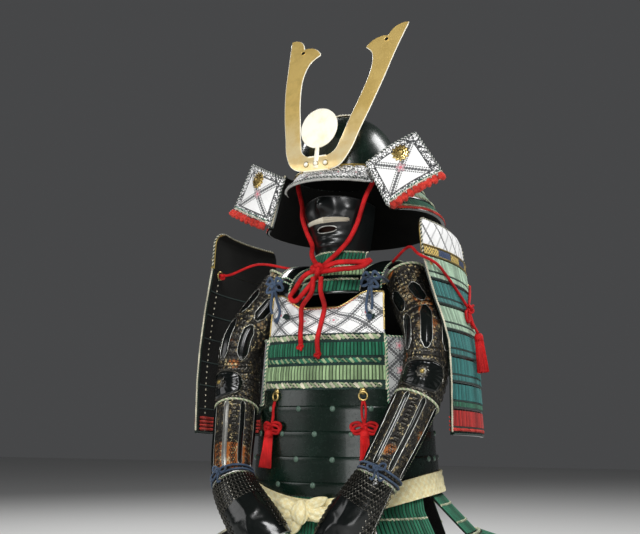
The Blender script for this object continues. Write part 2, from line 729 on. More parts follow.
def frames_of(line, closed=False):
    """Two directions square to the line at each point, carried along without twist."""
    if closed:
        tangent = unit(np.roll(line, -1, 0) - np.roll(line, 1, 0))
    else:
        tangent = unit(np.gradient(line, axis=0))
    side = np.zeros_like(line)
    start = np.cross(tangent[0], (0.0, 0.0, 1.0))
    if np.linalg.norm(start) < 1e-3:
        start = np.cross(tangent[0], (0.0, 1.0, 0.0))
    side[0] = unit(start)
    for k in range(1, len(line)):
        carried = side[k - 1] - tangent[k] * (side[k - 1] @ tangent[k])
        side[k] = unit(carried)
    return side, np.cross(tangent, side)


def tube(soup, line, radius, sides=10, slot=0, closed=False, ends="flat", squash=1.0, braid=0.0):
    """A tube on a line. braid raises a plaited skin, and squash flattens the section."""
    line = np.asarray(line, float)
    n = len(line)
    side, over = frames_of(line, closed)
    run = np.concatenate([[0], np.cumsum(np.linalg.norm(np.diff(line, axis=0), axis=1))])
    reach = np.broadcast_to(np.asarray(radius, float), (n,)).copy()
    angle = np.arange(sides) / sides * 2 * np.pi
    r = reach[:, None] * np.ones(sides)
    if braid:
        pitch = 2.4 * float(np.mean(reach))
        plait = np.sin(2 * angle[None, :] + run[:, None] * 2 * np.pi / pitch)
        plait *= np.sin(2 * angle[None, :] - run[:, None] * 2 * np.pi / pitch)
        r = r * (1 + braid * plait)
    ring = side[:, None, :] * np.cos(angle)[None, :, None] * squash
    ring = ring + over[:, None, :] * np.sin(angle)[None, :, None]
    points = (line[:, None, :] + ring * r[..., None]).reshape(-1, 3)
    if closed:
        j, i = np.meshgrid(np.arange(n), np.arange(sides), indexing="ij")
        j, i = j.ravel(), i.ravel()
        cj = np.stack([j, j + 1, j + 1, j], 1)
        ci = np.stack([i, i, i + 1, i + 1], 1)
        faces = (cj % n) * sides + ci % sides
        gap = float(np.linalg.norm(line[0] - line[-1]))
        run = np.append(run, run[-1] + gap)
    else:
        faces, cj, ci = quads(n, sides, True)
    flat = np.stack([ci / sides * 2 * np.pi * float(np.mean(reach)), run[cj]], -1)
    turned = signed(points, faces) < 0
    if turned:
        faces, flat = faces[:, ::-1], flat[:, ::-1]
    soup.add(points, faces, flat, slot)
    if closed:
        return
    for end, last in ((0, False), (n - 1, True)):
        beyond = unit(line[end] - line[end - 1 if last else end + 1]) * reach[end] * 0.5
        tip = line[end] + (beyond if ends == "round" else 0)
        rim = points[end * sides:(end + 1) * sides]
        fan = np.stack([np.full(sides, sides), np.arange(sides), (np.arange(sides) + 1) % sides], 1)
        if last == turned:
            fan = fan[:, ::-1]
        flat_end = np.zeros((sides, 3, 2)) + (0.0, run[end])
        soup.add(np.concatenate([rim, tip[None, :]]), fan, flat_end, slot)


TURN_STEPS = 5  # points in one turn of a strand
STRAND = 0.62  # radius of a strand as a share of its cord's
FLAT_STRAND = 0.5


def twist(soup, line, radius, pitch, slots=(0, 1), sides=5, closed=False, share=STRAND, squash=1.0, turn=1,
          every=1):
    """Two strands that run round a line as in a twisted cord, through every so many of its points."""
    long = length_of(line) + (float(np.linalg.norm(line[0] - line[-1])) if closed else 0)
    turns = max(1, round(long / pitch))
    steps = turns * TURN_STEPS
    dense = smooth_line(line[::every], steps, closed)
    side, over = frames_of(dense, closed)
    strand = radius * share
    for k in range(2):
        a = (np.arange(len(dense)) / TURN_STEPS * turn + k / 2) * 2 * np.pi
        path = dense + side * (np.cos(a) * (radius - strand) * squash)[:, None]
        path = path + over * (np.sin(a) * (radius - strand))[:, None]
        tube(soup, path, strand, sides, slots[k], closed, squash=squash)


def rope(soup, surface, down, radius, pitch, slots, squash=0.6, turn=1):
    """A flattened twist that lies across a surface."""
    line = on(surface, np.linspace(0, 1, 80), down)
    twist(soup, line, radius, pitch, slots, share=FLAT_STRAND, squash=squash, turn=turn, every=4)


def on(surface, us, vs):
    """Points of a surface along a line of u and v."""
    u, v = np.broadcast_arrays(np.asarray(us, float), np.asarray(vs, float))
    return surface(u, v)


def once_round(surface, across, down, gap_across, gap_down):
    """Points once round the edge of a surface."""
    return np.concatenate([on(surface, np.linspace(0, 1, across), 0.0),
                           on(surface, 1.0, np.linspace(gap_down, 1, down)),
                           on(surface, np.linspace(1 - gap_across, 0, across), 1.0),
                           on(surface, 0.0, np.linspace(1 - gap_down, gap_down, down))])


def dome(soup, at, facing, radius, height, slot=0, sides=14, rings=5, lobes=0):
    """A small round boss or rivet that stands on a surface, with petals if it has lobes."""
    facing = unit(np.asarray(facing, float))
    aside = unit(np.cross(facing, (0.0, 0.0, 1.0) if abs(facing[2]) < 0.9 else (1.0, 0.0, 0.0)))
    over = np.cross(facing, aside)
    around = np.arange(sides)
    angle = around / sides * 2 * np.pi
    share = np.linspace(0, 1, rings + 1)[:-1, None]
    petal = 1 + 0.12 * np.cos(lobes * angle) * (1 - share) * (lobes > 0)
    reach = radius * np.cos(share * np.pi / 2) * petal
    rise = height * np.sin(share * np.pi / 2)
    circle = np.cos(angle)[:, None] * aside + np.sin(angle)[:, None] * over
    grid = np.asarray(at) + reach[..., None] * circle + rise[..., None] * facing
    grid = np.concatenate([grid[:1] - facing * 0.4, grid])
    last = rings * sides
    faces = quads(rings + 1, sides, True)[0][:, ::-1]
    fan = np.stack([np.full(sides, last + sides), last + around, last + (around + 1) % sides], 1)
    top = np.asarray(at) + facing * height
    soup.add(np.concatenate([grid.reshape(-1, 3), top[None, :]]), faces, np.zeros((len(faces), 4, 2)), slot)
    soup.add_more(fan, slot)
    soup.add_more(around[None, ::-1], slot)


def capped(soup, points, sides, faces, flat, slot):
    """Adds a wrapped grid of points with a flat cap at each end, all facing out."""
    around = np.arange(sides)
    caps = [around[::-1], len(points) - sides + around]
    centred = points - points.mean(0)
    fans = [np.stack([np.full(sides - 2, cap[0]), cap[1:-1], cap[2:]], 1) for cap in caps]
    if sum(signed(centred, part) for part in (faces, *fans)) < 0:
        faces, flat = faces[:, ::-1], flat[:, ::-1]
        caps = [cap[::-1] for cap in caps]
    soup.add(points, faces, flat, slot)
    for cap in caps:
        soup.add_more(cap[None, :], slot)


def lathe(soup, profile, sides, place, slot=0, ring=False):
    """A turned form: profile is radius and height, and place puts a point (x, y, height) where it belongs."""
    angle = np.arange(sides) / sides * 2 * np.pi
    r, h = np.asarray(profile, float).T
    if ring:
        r, h = np.append(r, r[0]), np.append(h, h[0])
    points = place(r[:, None] * np.cos(angle), r[:, None] * np.sin(angle), h[:, None] * np.ones(sides))
    points = points.reshape(-1, 3)
    faces, cj, ci = quads(len(r), sides, True)
    run = np.concatenate([[0], np.cumsum(np.hypot(np.diff(r), np.diff(h)))])
    flat = np.stack([ci / sides * 2 * np.pi * float(r.mean()), run[cj]], -1)
    if not ring:
        capped(soup, points, sides, faces, flat, slot)
        return
    points = points[:-sides]
    faces = faces % len(points)
    if signed(points - points.mean(0), faces) < 0:
        faces, flat = faces[:, ::-1], flat[:, ::-1]
    soup.add(points, faces, flat, slot)


def seat(at, facing, spin=0.0):
    """Puts a small form on a point, its height along facing."""
    facing = unit(np.asarray(facing, float))
    aside = unit(np.cross((0.0, 0.0, 1.0) if abs(facing[2]) < 0.9 else (0.0, 1.0, 0.0), facing))
    over = np.cross(facing, aside)
    c, s = math.cos(spin), math.sin(spin)
    first, second = aside * c + over * s, over * c - aside * s

    def place(x, y, h):
        x, y, h = (np.asarray(c, float)[..., None] for c in (x, y, h))
        return np.asarray(at) + x * first + y * second + h * facing
    return place


def knot(soup, at, facing, size, radius, slot=0, spin=0.0):
    """A small tied knot."""
    t = np.linspace(0, 2 * np.pi, 49)[:-1]
    x = (np.sin(t) + 2 * np.sin(2 * t)) * size / 3
    y = (np.cos(t) - 2 * np.cos(2 * t)) * size / 3
    line = seat(at, facing, spin)(x, y, radius * (1 - np.sin(3 * t)))
    tube(soup, line, radius, 8, slot, closed=True)


def tassel(soup, top, foot, length, radius, slot=0, strands=110):
    """A bound head, and silk strands that hang from it and spread a little."""
    hang = unit(foot - top)
    place = seat(top, -hang)
    head = [(1.5, 0.5), (radius * 0.5, 0), (radius * 0.74, -3.5), (radius * 0.78, -8), (radius * 0.66, -12),
            (radius * 0.72, -14), (radius * 0.4, -15)]
    lathe(soup, head, 20, place, slot)
    for low in (-10.5, -12.5):
        ring = np.linspace(0, 2 * np.pi, 25)[:-1]
        line = place(np.cos(ring) * radius * 0.7, np.sin(ring) * radius * 0.7, np.full(24, low))
        tube(soup, line, 1.0, 6, slot, closed=True)
    down = np.linspace(0, 1, 7)
    for k in range(strands):
        share = math.sqrt((k + 0.5) / strands)
        turn = k * 2.39996
        reach = radius * (0.66 + 0.36 * ease(down, 0, 0.9)) * share
        sway = 0.5 * np.sin(down * 5 + turn * 3) * share
        end = -11 - (length - 11) * down * (1 - 0.03 * chance.random())
        line = place(reach * math.cos(turn) + sway, reach * math.sin(turn) + sway * 0.6, end)
        tube(soup, line, 0.75 + 0.25 * chance.random(), 4, slot)


def done(soup, name, materials, nodes=(), sharp=74, move=None):
    """Makes the piece and says what it is part of."""
    piece = soup.build(name, materials, sharp, move)
    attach(piece, "root")
    if nodes:
        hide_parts(*nodes)
    return piece


# Laced rows

LACE_HIGH = 2.1


def laced(soup, plain, width, start, end, slot, inside=1, rows=1, high=LACE_HIGH, thickness=0.9):
    """Upright laces side by side over a surface whose second coordinate is millimetres down."""
    count = 2 * max(2, round(width / LACE / 2))

    def ridge(u, v):
        t = 2 * np.mod((u - 0.5) * count, 1.0) - 1
        return 0.15 + high * np.sqrt(np.clip(1 - t * t, 0, 1))
    us = span(0, 1, count * 4)
    vs = span(start, end, rows)
    wall(soup, plain, us, vs, thickness, raised(plain, ridge), size=(count * LACE, 1.0), origin=(0.5, start),
         slot=slot, inside=inside, edge=slot)


# The body armour

TORSO = {
    "z": (0, -50, -120, -220, -300, -404, -470),
    "width": (136, 143, 148, 155, 161, 173, 178),
    "depth": (104, 111, 120, 128, 132, 140, 144),
}
SQUARE = 0.06
PLATE = 2.2
CLOTH = 2.4
STEP = 2.4
SEAM = 0.35
LACED = 4
CORD_R = 4.4
THIN_R = 2.6
FRONT_EDGE = 47
BACK_EDGE = 60
SIDE_SEAM = 89.8
BACK_TOP = -8
LACING_TOP = -120
LAMES_TOP = -220
LAMES_END = -404
LAME_EDGES = (-248, -292, -336, -380)
LACING = {
    "z": (-120, -134, -136, -148, -160, -162, -175, -177, -190, -203, -205, -219.5),
    "out": (0.6, 2.4, 0.4, 2.6, 1.6, 2.8, 2.4, 0.6, 2.8, 1.8, 3, 1.6),
}


def torso(angle, z, out=0.0):
    angle, z, out = np.broadcast_arrays(*(np.asarray(c, float) for c in (angle, z, out)))
    a = np.radians(angle)
    width, depth = read(TORSO, z)
    full = 1 + SQUARE * np.sin(2 * a) ** 2
    normal = unit(vec(np.sin(a) / width, -np.cos(a) / depth, 0))
    return vec(width * full * np.sin(a), -depth * full * np.cos(a), z) + normal * out[..., None]


def torso_facing(angle, z=-200):
    return torso(angle, z, 1) - torso(angle, z, 0)


def neck_edge(angle):
    return mix(-73, -45, ease(np.abs(angle), 12, 36))


def arc(low, high, z):
    return length_of(torso(np.linspace(low, high, 60), z))


def make_leather_top(name, node, low, high, top, leather, knots):
    """The stencilled leather above the laced rows, with a gilt rim."""
    end = LACING_TOP + SEAM

    def plain(u, v):
        angle = mix(low, high, u)
        return torso(angle, mix(top(angle), end, v))
    soup = Soup()
    wide = arc(low, high, -100)
    tall = float(top(np.asarray(high)) - end)
    wall(soup, plain, span(0, 1, 48), span(0, 1, 10), PLATE, size=(wide, tall), inside=1, edge=2)
    up = np.linspace(1, 0, 14)
    edge = np.concatenate([on(plain, 0.0, up), on(plain, np.linspace(0.01, 0.99, 60), 0.0),
                           on(plain, 1.0, up[::-1])])
    rim = smooth_line(edge[::2], 110)
    tube(soup, rim, 2.1, 6, 2)
    twist(soup, on(raised(plain, 1.0), np.linspace(0.2, 0.8, 60), 0.05), 1.5, 6, (4, 5))
    for angle, z, spin in knots:
        knot(soup, torso(angle, z, 0.6), torso_facing(angle), 4.6, 1.7, 3, spin)
        knot(soup, torso(angle + 2.4, z - 2, 0.6), torso_facing(angle), 3.4, 1.5, 3, spin + 1)
    names = [leather, "lining", "gilt", "black_line", "coral_twist", "cream_twist"]
    done(soup, name, names, [node])


def make_lacing(name, node, low, high):
    """Two tall laced rows between three twisted bands."""
    def plain(u, d):
        return torso(mix(low, high, u), -d)

    def seated(u, d):
        out, = read(LACING, -np.asarray(d))
        return torso(mix(low, high, u), -d, np.maximum(out - 1.1, 0.1))
    soup = Soup()
    wide = arc(low, high, -170)
    rows = [-z for z in LACING["z"]]
    wall(soup, plain, span(0, 1, 60), rows, PLATE, seated, size=(wide, 1), slot=0, inside=1)
    rope(soup, seated, 127, 6.6, 15, (2, 3), 0.5)
    laced(soup, seated, wide, 136.5, 159.5, 4, rows=2)
    rope(soup, seated, 168.4, 5.6, 13, (3, 5), 0.5)
    laced(soup, seated, wide, 177.5, 202.5, 6, rows=2)
    rope(soup, seated, 212, 6.6, 15, (2, 3), 0.5)
    for side in (0.0, 1.0):
        line = on(seated, np.full(40, side), np.linspace(121, 219, 40))
        twist(soup, smooth_line(line[::3], 40), 2.3, 8, (2, 3))
    names = ["black_line", "lining", "cream_twist", "sage_twist", "dark_lace", "green_twist", "light_lace"]
    done(soup, name, names, [node])


LAME_PROFILE = ((-0.3, 0.2), (0.3, 1.7), (1.2, 2.5), (3.5, 2.75), (8, 2.3))
RIVET_STEP = 24


def make_lames(name, node, middle):
    """Black lames, each with a rounded lip below its neighbour's edge and a row of domed rivets."""
    low, high = middle - SIDE_SEAM, middle + SIDE_SEAM
    rows = [(-LAMES_TOP, 0.0)]
    for z in LAME_EDGES:
        rows += [(-z + d, out) for d, out in LAME_PROFILE]
    rows.append((-LAMES_END, 0.5))
    table = {"d": [r[0] for r in rows], "out": [r[1] for r in rows]}

    def plain(u, d):
        return torso(mix(low, high, u), -d)

    def lipped(u, d):
        return torso(mix(low, high, u), -d, read(table, d)[0])
    downs = sorted(set(table["d"]) | {-z + s for z in LAME_EDGES for s in (14, 22, 30)} - {410, 402})
    downs = [d for d in downs if d <= -LAMES_END]
    soup = Soup()
    wall(soup, plain, span(0, 1, 54), downs, PLATE, lipped, size=(arc(low, high, -300), 1), slot=0, inside=1,
         edge=0)
    for k, z in enumerate(LAME_EDGES):
        shift = RIVET_STEP / 2 if k % 2 == 0 else 0
        for n in range(-4, 5):
            angle = middle + n * RIVET_STEP + shift
            if abs(angle - middle) < SIDE_SEAM - 3:
                dome(soup, torso(angle, z - 5.2, 2.4), torso_facing(angle), 5.2, 2.7, 2, 16)
    done(soup, name, ["lacquer", "lining", "rivet"], [node], sharp=50)


SIDE_TOP = -126
SIDE_END = LAME_EDGES[0] + 2
SIDE_OUT = PLATE + 1.2


def make_side_panel(side):
    end = END[side]
    low, high = sorted(a * side for a in (FRONT_EDGE + 0.7, 89.4))

    def plain(u, v):
        return torso(mix(low, high, u), mix(SIDE_TOP, SIDE_END, v), SIDE_OUT)
    soup = Soup()
    wide, tall = arc(low, high, -180), SIDE_TOP - SIDE_END
    wall(soup, plain, span(0, 1, 24), span(0, 1, 16), PLATE, size=(wide, tall), edge=2)
    edge = once_round(plain, 30, 30, 0.03, 0.03)
    twist(soup, smooth_line(edge[::3], 120, True), 2.1, 7, (2, 3), closed=True)
    leather = stencil(f"side_leather_{end}", wide, tall, "hexagon", SHADED_SKIN, 0.0, (48.0, 44.0), 0.25)
    done(soup, f"side_leather_panel_{end}", [leather, "lining", "cream_twist", "green_twist"],
         [f"side_panel_{end}"])


STRAP_ANGLES = (27, 45)
STRAP_RISE = 46
STRAP = 4


def strap_point(side, u, v):
    u, v = np.broadcast_arrays(np.asarray(u, float), np.clip(np.asarray(v, float), 0, 1))
    first, last = STRAP_ANGLES if side > 0 else (-STRAP_ANGLES[1], -STRAP_ANGLES[0])
    angle = mix(first, last, u)
    front = torso(angle, neck_edge(angle) + 0.6)
    back = torso(180 - angle, BACK_TOP + 0.4)
    p = front + (back - front) * ease(v, 0, 1)[..., None]
    p[..., 2] = mix(neck_edge(angle) + 0.6, BACK_TOP + 0.4, v) + STRAP_RISE * np.abs(np.sin(np.pi * v)) ** 0.8
    return p


def make_strap(side):
    """A lacquered shoulder plate with a corded rim and two bands of lacing."""
    end = END[side]

    def plain(u, v):
        return strap_point(side, u, v)

    def swelled(u, v):
        lift = 1.6 * (1 - (2 * u - 1) ** 2)
        return plain(u, v) + normal_of(plain, u, v, True) * lift[..., None]
    soup = Soup()
    wall(soup, plain, span(0, 1, 14), span(0, 1, 60), STRAP, swelled, size=(54, 230), slot=0, inside=1,
         edge=0,
         flip=True)
    for u in (0.0, 1.0):
        line = on(plain, np.full(60, u), np.linspace(0.02, 0.98, 60))
        twist(soup, line[::3], 2.0, 7, (2, 3))
    for v in (0.12, 0.17, 0.8, 0.85):
        line = on(swelled, np.linspace(0.04, 0.96, 12), np.full(12, v))
        twist(soup, line, 2.0, 7, (2, 3))
    done(soup, f"shoulder_strap_{end}", ["gloss", "lining", "cream_twist", "green_twist"],
         [f"strap_{end}"])


SASH_TALL = 37
SASH_LIFT = 4
KNOT_DEEP = 15


def sash_middle(angle):
    turned = np.mod(np.asarray(angle, float) + 540, 360) - 180
    return mix(-382, -427, bell(turned, 48))


def make_sash():
    """A long brocade band folded in three round the waist."""
    def plain(u, v):
        angle = u * 360
        return torso(angle, sash_middle(angle) + SASH_TALL * (0.5 - v), SASH_LIFT + CLOTH)

    def folds(u, v):
        w = u * 2 * np.pi
        a = 0.33 + 0.07 * np.sin(w * 2 + 0.6) + 0.02 * np.sin(w * 11)
        b = 0.68 + 0.06 * np.sin(w * 3 + 2.0) + 0.02 * np.sin(w * 7)
        layer = 1.3 * ease(v, a - 0.02, a + 0.015) + 1.2 * ease(v, b - 0.02, b + 0.015)
        droop = 0.9 * np.sin(v * 17 + 3 * np.sin(w * 2)) * np.sin(w * 5 + v * 4)
        droop = droop + 0.5 * np.sin(w * 23 + v * 9)
        return 0.4 + layer + droop * 0.6
    soup = Soup()
    round_it = length_of(on(plain, np.linspace(0, 1, 200), 0.5))
    wall(soup, plain, span(0, 1, 190), span(0, 1, 24), CLOTH, raised(plain, folds), wrap=True,
         size=(round_it, SASH_TALL), slot=0, inside=0, edge=0)
    piece = done(soup, "waist_sash", ["sash"], ["sash"], sharp=80)


LEAF_ROWS = 28
LEAF_SIDES = 40


def folded_leaf(soup, root, tip, wide, deep, pleats, lift=(0, 0, 1), phase=0.0):
    """A pointed end of gathered cloth with sharp pleats running along it."""
    root, tip = np.asarray(root, float), np.asarray(tip, float)
    long = np.linalg.norm(tip - root)
    axis = unit(tip - root)
    out = unit(np.cross(axis, np.asarray(lift, float)))
    up = np.cross(out, axis)
    t = np.linspace(0, 1, LEAF_ROWS)[:, None]
    angle = np.arange(LEAF_SIDES) / LEAF_SIDES * 2 * np.pi
    body = np.sin(np.pi * np.clip(t * 0.93 + 0.05, 0, 1)) ** 0.75
    crease = 0.9 + 0.24 * np.abs(np.sin(angle * pleats / 2 + phase + 1.2 * t))
    centre = root + (tip - root) * t - up * (0.06 * long * np.sin(np.pi * t))
    ring = up * (np.sin(angle) * wide)[:, None] + out * (np.cos(angle) * deep)[:, None]
    points = centre[:, None, :] + ring * (body * crease)[..., None]
    faces, cj, ci = quads(LEAF_ROWS, LEAF_SIDES, True)
    flat = np.stack([ci / LEAF_SIDES * 2 * np.pi * wide, cj / LEAF_ROWS * long], -1)
    capped(soup, points.reshape(-1, 3), LEAF_SIDES, faces, flat, 0)


def make_sash_knot():
    """The sash's tied ends: folded loops to both sides over a tight middle."""
    at = torso(-3, -426, SASH_LIFT + CLOTH + 0.4 + KNOT_DEEP)

    def spot(x, y, z):
        return at + np.array([x, y, z], float)
    soup = Soup()
    folded_leaf(soup, spot(-4, 3, 0), spot(-54, 4, 14), 15, 10, 7)
    folded_leaf(soup, spot(4, 3, 1), spot(52, 4, -4), 14, 10, 7, phase=0.7)
    folded_leaf(soup, spot(2, 1, 6), spot(48, 2, 22), 10, 8, 6, phase=0.3)
    folded_leaf(soup, spot(-4, 1, -6), spot(-46, 3, -12), 10, 8, 6, phase=1.1)
    folded_leaf(soup, spot(-6, 2, -6), spot(-20, 3, -42), 13, 8, 6, lift=(1, 0, 0.2), phase=0.5)
    folded_leaf(soup, spot(0, -3, 17), spot(1, -3, -25), 16, 11, 8, lift=(1, 0, 0), phase=0.9)
    done(soup, "sash_tied_knot", ["sash"], ["sash_knot"], sharp=80)


# The skirt

SKIRT_ROWS = ((88, 44, 56), (48, 70, 70), (48, 56, 73), (48, 42, 76), (48, 28, 79), (48, 18, 82))
SKIRT_TOP_WIDTH = 50
SKIRT_PANELS = (
    ("skirt_front", 0, 46, 0.45),
    ("skirt_front_left", 52, 20, 0.9),
    ("skirt_front_right", -52, 20, 0.82),
    ("skirt_side_left", 104, 3, 1),
    ("skirt_side_right", -104, 3, 0.9),
    ("skirt_back_left", 155, 3, 0.55),
    ("skirt_back_right", -155, 3, 0.55),
)


def make_skirt_panel(node, turn, tuck, flare):
    """A lacing strip, then five lames that lean less and less."""
    table = {"s": [0, tuck], "out": [0, 0], "down": [0, tuck],
             "width": [SKIRT_TOP_WIDTH, SKIRT_TOP_WIDTH + 1]}
    s, out, down = tuck, 0.0, float(tuck)
    for k, (length, lean, width) in enumerate(SKIRT_ROWS):
        a = math.radians(lean * flare)
        if k:
            table["s"].append(s + 1)
            table["out"].append(out + math.sin(a))
            table["down"].append(down + math.cos(a))
            table["width"].append(width)
        s, out, down = s + length, out + length * math.sin(a), down + length * math.cos(a)
        table["s"].append(s)
        table["out"].append(out)
        table["down"].append(down)
        table["width"].append(width if k else SKIRT_TOP_WIDTH + 4)
    a = math.radians(turn)
    middle, tangent = np.array([math.sin(a), -math.cos(a), 0]), np.array([math.cos(a), math.sin(a), 0])
    wide, deep = read(TORSO, LAMES_END)
    reach = math.degrees(SKIRT_TOP_WIDTH / math.hypot(wide * math.cos(a), deep * math.sin(a)))

    def plain(u, s_at):
        side = u * 2 - 1
        far, low, half = read(table, s_at)
        p = torso(turn + side * reach, LAMES_END - SEAM)
        p = p + middle * far[..., None] + tangent * (side * (half - SKIRT_TOP_WIDTH))[..., None]
        p[..., 2] -= low
        return p
    soup = Soup()
    strip_end = tuck + SKIRT_ROWS[0][0]
    wall(soup, plain, span(0, 1, 16), [0, tuck, mix(tuck, strip_end, 0.5), strip_end], PLATE, size=(104, 1),
         slot=1,
         inside=1)
    laced(soup, plain, 100, 1, strip_end - 1, 2, rows=4)
    for d in (tuck + 22, tuck + 62):
        rope(soup, raised(plain, 1.6), d, 3.0, 9, (3, 4), 0.7)
    for k in range(5):
        start = strip_end + 48 * k
        shaped = lapped(plain, [start, start + 1, start + 40, start + 45.5, start + 48],
                        [0.1, 0.4, 1.7, 2.6, 2.4])
        half = SKIRT_ROWS[k + 1][2]
        rows = [start, start + 1.05, start + 4, start + 20, start + 40, start + 43, start + 45.5, start + 47,
                start + 48]
        wall(soup, plain, span(0, 1, 16), rows, PLATE, shaped, size=(half * 2, 1), slot=0, inside=1, edge=0)
        rope(soup, shaped, start + 6.5, 5.0, 11, (3, 4), 0.5)
        if k < 4:
            laced(soup, shaped, half * 2 - 4, start + 12, start + 43, 2)
        else:
            laced(soup, shaped, half * 2 - 4, start + 12, start + 30, 2)
            rope(soup, shaped, start + 34, 3.6, 10, (5, 5), 0.55)
            rope(soup, shaped, start + 41, 3.6, 10, (5, 5), 0.55, turn=-1)
    for u in (0.0, 1.0):
        line = on(raised(plain, 1.0), np.full(60, u), np.linspace(strip_end + 2, strip_end + 239, 60))
        twist(soup, line[::2], 2.4, 9, (3, 3))
    names = ["lacquer", "lining", "dark_lace", "cream_twist", "sage_twist", "coral_twist"]
    done(soup, f"{node}_laced", names, [node])


# The shoulder guards

GUARD_TOP = 86
GUARD_CAP_END = 16
GUARD_LAME = 44.8
GUARD_FRONT_Y = -90
GUARD_BACK_Y = 172
GUARD_BULGE = 18
GUARD_SLOPE = 9
GUARD_DEEP = GUARD_BACK_Y - GUARD_FRONT_Y
CAP_CORNER = 26
GUARD_LEFT = {
    "z": (90, 16, -20, -63, -100, -140, -200, -300),
    "front": (186, 190, 200, 213, 226, 236, 239, 239),
    "back": (172, 180, 184, 188, 193, 198, 203, 207),
}
GUARD_RIGHT = {
    "z": (90, 16, -63, -140, -200, -300),
    "front": (236, 240, 255, 266, 271, 273),
    "back": (244, 250, 256, 262, 266, 270),
}
CAP_ROWS = {"z": (86, 80, 68, 34, 33, 16), "in": (13, 5, 1, 0, 0, 0), "out": (0, 0, 0, 0, 2, 2)}
# Laces of each lame from the top: the wide row and the narrow one
GUARD_LACES = (("pale", "pale"), ("teal", "teal"), ("pale", "pale"), ("teal", "teal"), ("teal", "teal"),
               ("teal", "green"), ("coral", "coral"))


def guard_point(side, u, z, out=0.0):
    u, z, out = np.broadcast_arrays(*(np.asarray(c, float) for c in (u, z, out)))
    part = u if side > 0 else 1 - u
    front, back = read(GUARD_LEFT if side > 0 else GUARD_RIGHT, z)
    x = mix(front, back, part) + GUARD_BULGE * 4 * part * (1 - part)
    return vec(side * (x + out), mix(GUARD_FRONT_Y, GUARD_BACK_Y, part), z - GUARD_SLOPE * part)


def make_guard_cap(side):
    """Stencilled leather over a band of gilt and slate squares."""
    end = END[side]

    def plain(u, d):
        short = np.clip(CAP_CORNER - (np.asarray(d, float) + GUARD_TOP), 0, CAP_CORNER)
        inset = (CAP_CORNER - np.sqrt(CAP_CORNER**2 - short**2)) / GUARD_DEEP
        return guard_point(side, mix(inset, 1 - inset, u), -d, -read(CAP_ROWS, -np.asarray(d))[0])

    stepped = raised(plain, lambda u, d: read(CAP_ROWS, -np.asarray(d))[1])
    soup = Soup()
    tall = GUARD_TOP - 34
    middle = -(GUARD_TOP + 34) / 2
    rows = [-86, -83, -80, -76, -72, -68, -60, -50, -42, -36, -34]
    wall(soup, plain, span(0, 1, 40), rows, LACED, stepped, size=(GUARD_DEEP, 1), origin=(0.5, middle),
         inside=1, edge=3)
    wall(soup, plain, span(0, 1, 40), [-34, -33.4, -33, -28, -22, -16.6, -16], LACED, stepped,
         size=(GUARD_DEEP, 1),
         origin=(0.5, -24.5), slot=2, inside=1, edge=3)
    for d in (-33.2, -17):
        tube(soup, on(raised(plain, 2.4), np.linspace(0, 1, 40), d), 1.5, 6, 3)
    border = np.concatenate([on(plain, 0.0, np.linspace(-18, -84, 24)),
                             on(plain, np.linspace(0.02, 0.98, 50), -86.0),
                             on(plain, 1.0, np.linspace(-84, -18, 24))])
    twist(soup, smooth_line(border[::3], 110), 2.2, 7, (4, 5))
    leather = stencil(f"cap_leather_{end}", GUARD_DEEP, tall, "zigzag", border=0.0, cell=(58.0, 58.0),
                      age=0.1)
    names = [leather, "lining", "checker", "old_gilt", "cream_twist", "black_line"]
    done(soup, f"guard_leather_cap_{end}", names, [f"guard_cap_{end}"])


def make_guard(side):
    """Seven lames laced in pale green, teal and coral, dark inside with a dotted line of lacing."""
    end = END[side]

    def plain(u, d):
        return guard_point(side, u, -d)
    names = ["lacquer", "lining", "pale_lace", "teal_lace", "coral_lace", "dark_lace", "sage_twist",
             "cream_twist",
             "black_line", "coral_twist", "gilt"]
    lace_slot = {"pale": 2, "teal": 3, "coral": 4, "green": 5}
    soup = Soup()
    for k, (wide, narrow) in enumerate(GUARD_LACES):
        start = -GUARD_CAP_END + SEAM + GUARD_LAME * k
        shaped = lapped(plain, [start, start + 30, start + 44, start + 44.6], [0.1, 1.2, 2.2, 1.6])
        rows = [start, start + 1, start + 15, start + 30, start + 38, start + 43, start + 44, start + 44.6]
        wall(soup, plain, span(0, 1, 32), rows, LACED, shaped, size=(GUARD_DEEP, 1), slot=0, inside=1, edge=0)
        laced(soup, shaped, GUARD_DEEP - 6, start + 2.5, start + 29, lace_slot[wide])
        if wide == "coral":
            rope(soup, shaped, start + 35, 3.6, 10, (9, 9), 0.55)
        else:
            laced(soup, shaped, GUARD_DEEP - 6, start + 32.5, start + 40.5, lace_slot[narrow], rows=1,
                  high=1.1)
        for d in (30.8, 42.2):
            tube(soup, on(shaped, np.linspace(0.01, 0.99, 32), start + d), 1.5, 6, 8)
        inner = raised(plain, -LACED)
        tube(soup, on(inner, np.linspace(0.01, 0.99, 32), start + 42), 1.2, 6, 8)
        for n in range(4):
            for u in (0.12, 0.86):
                at = on(inner, u, start + 5 + n * 11)
                facing = -normal_of(plain, u, start + 5.0 + n * 11)
                dome(soup, at, facing, 1.9, 1.2, 7, 8, 3)
    bottom = -GUARD_CAP_END + SEAM + GUARD_LAME * 7
    for d in (bottom - 30, bottom - 23, bottom - 16, bottom - 9):
        rope(soup, raised(plain, -LACED - 0.6), d, 3.6, 12, (9, 9), 0.5)
    for u in (0.0, 1.0):
        line = on(raised(plain, 0.4), np.full(70, u), np.linspace(-GUARD_CAP_END + 1, bottom - 1, 70))
        twist(soup, line[::2], 1.9, 8, (7, 7))
    done(soup, f"guard_laced_{end}", names, [f"guard_{end}"])


# The sleeves

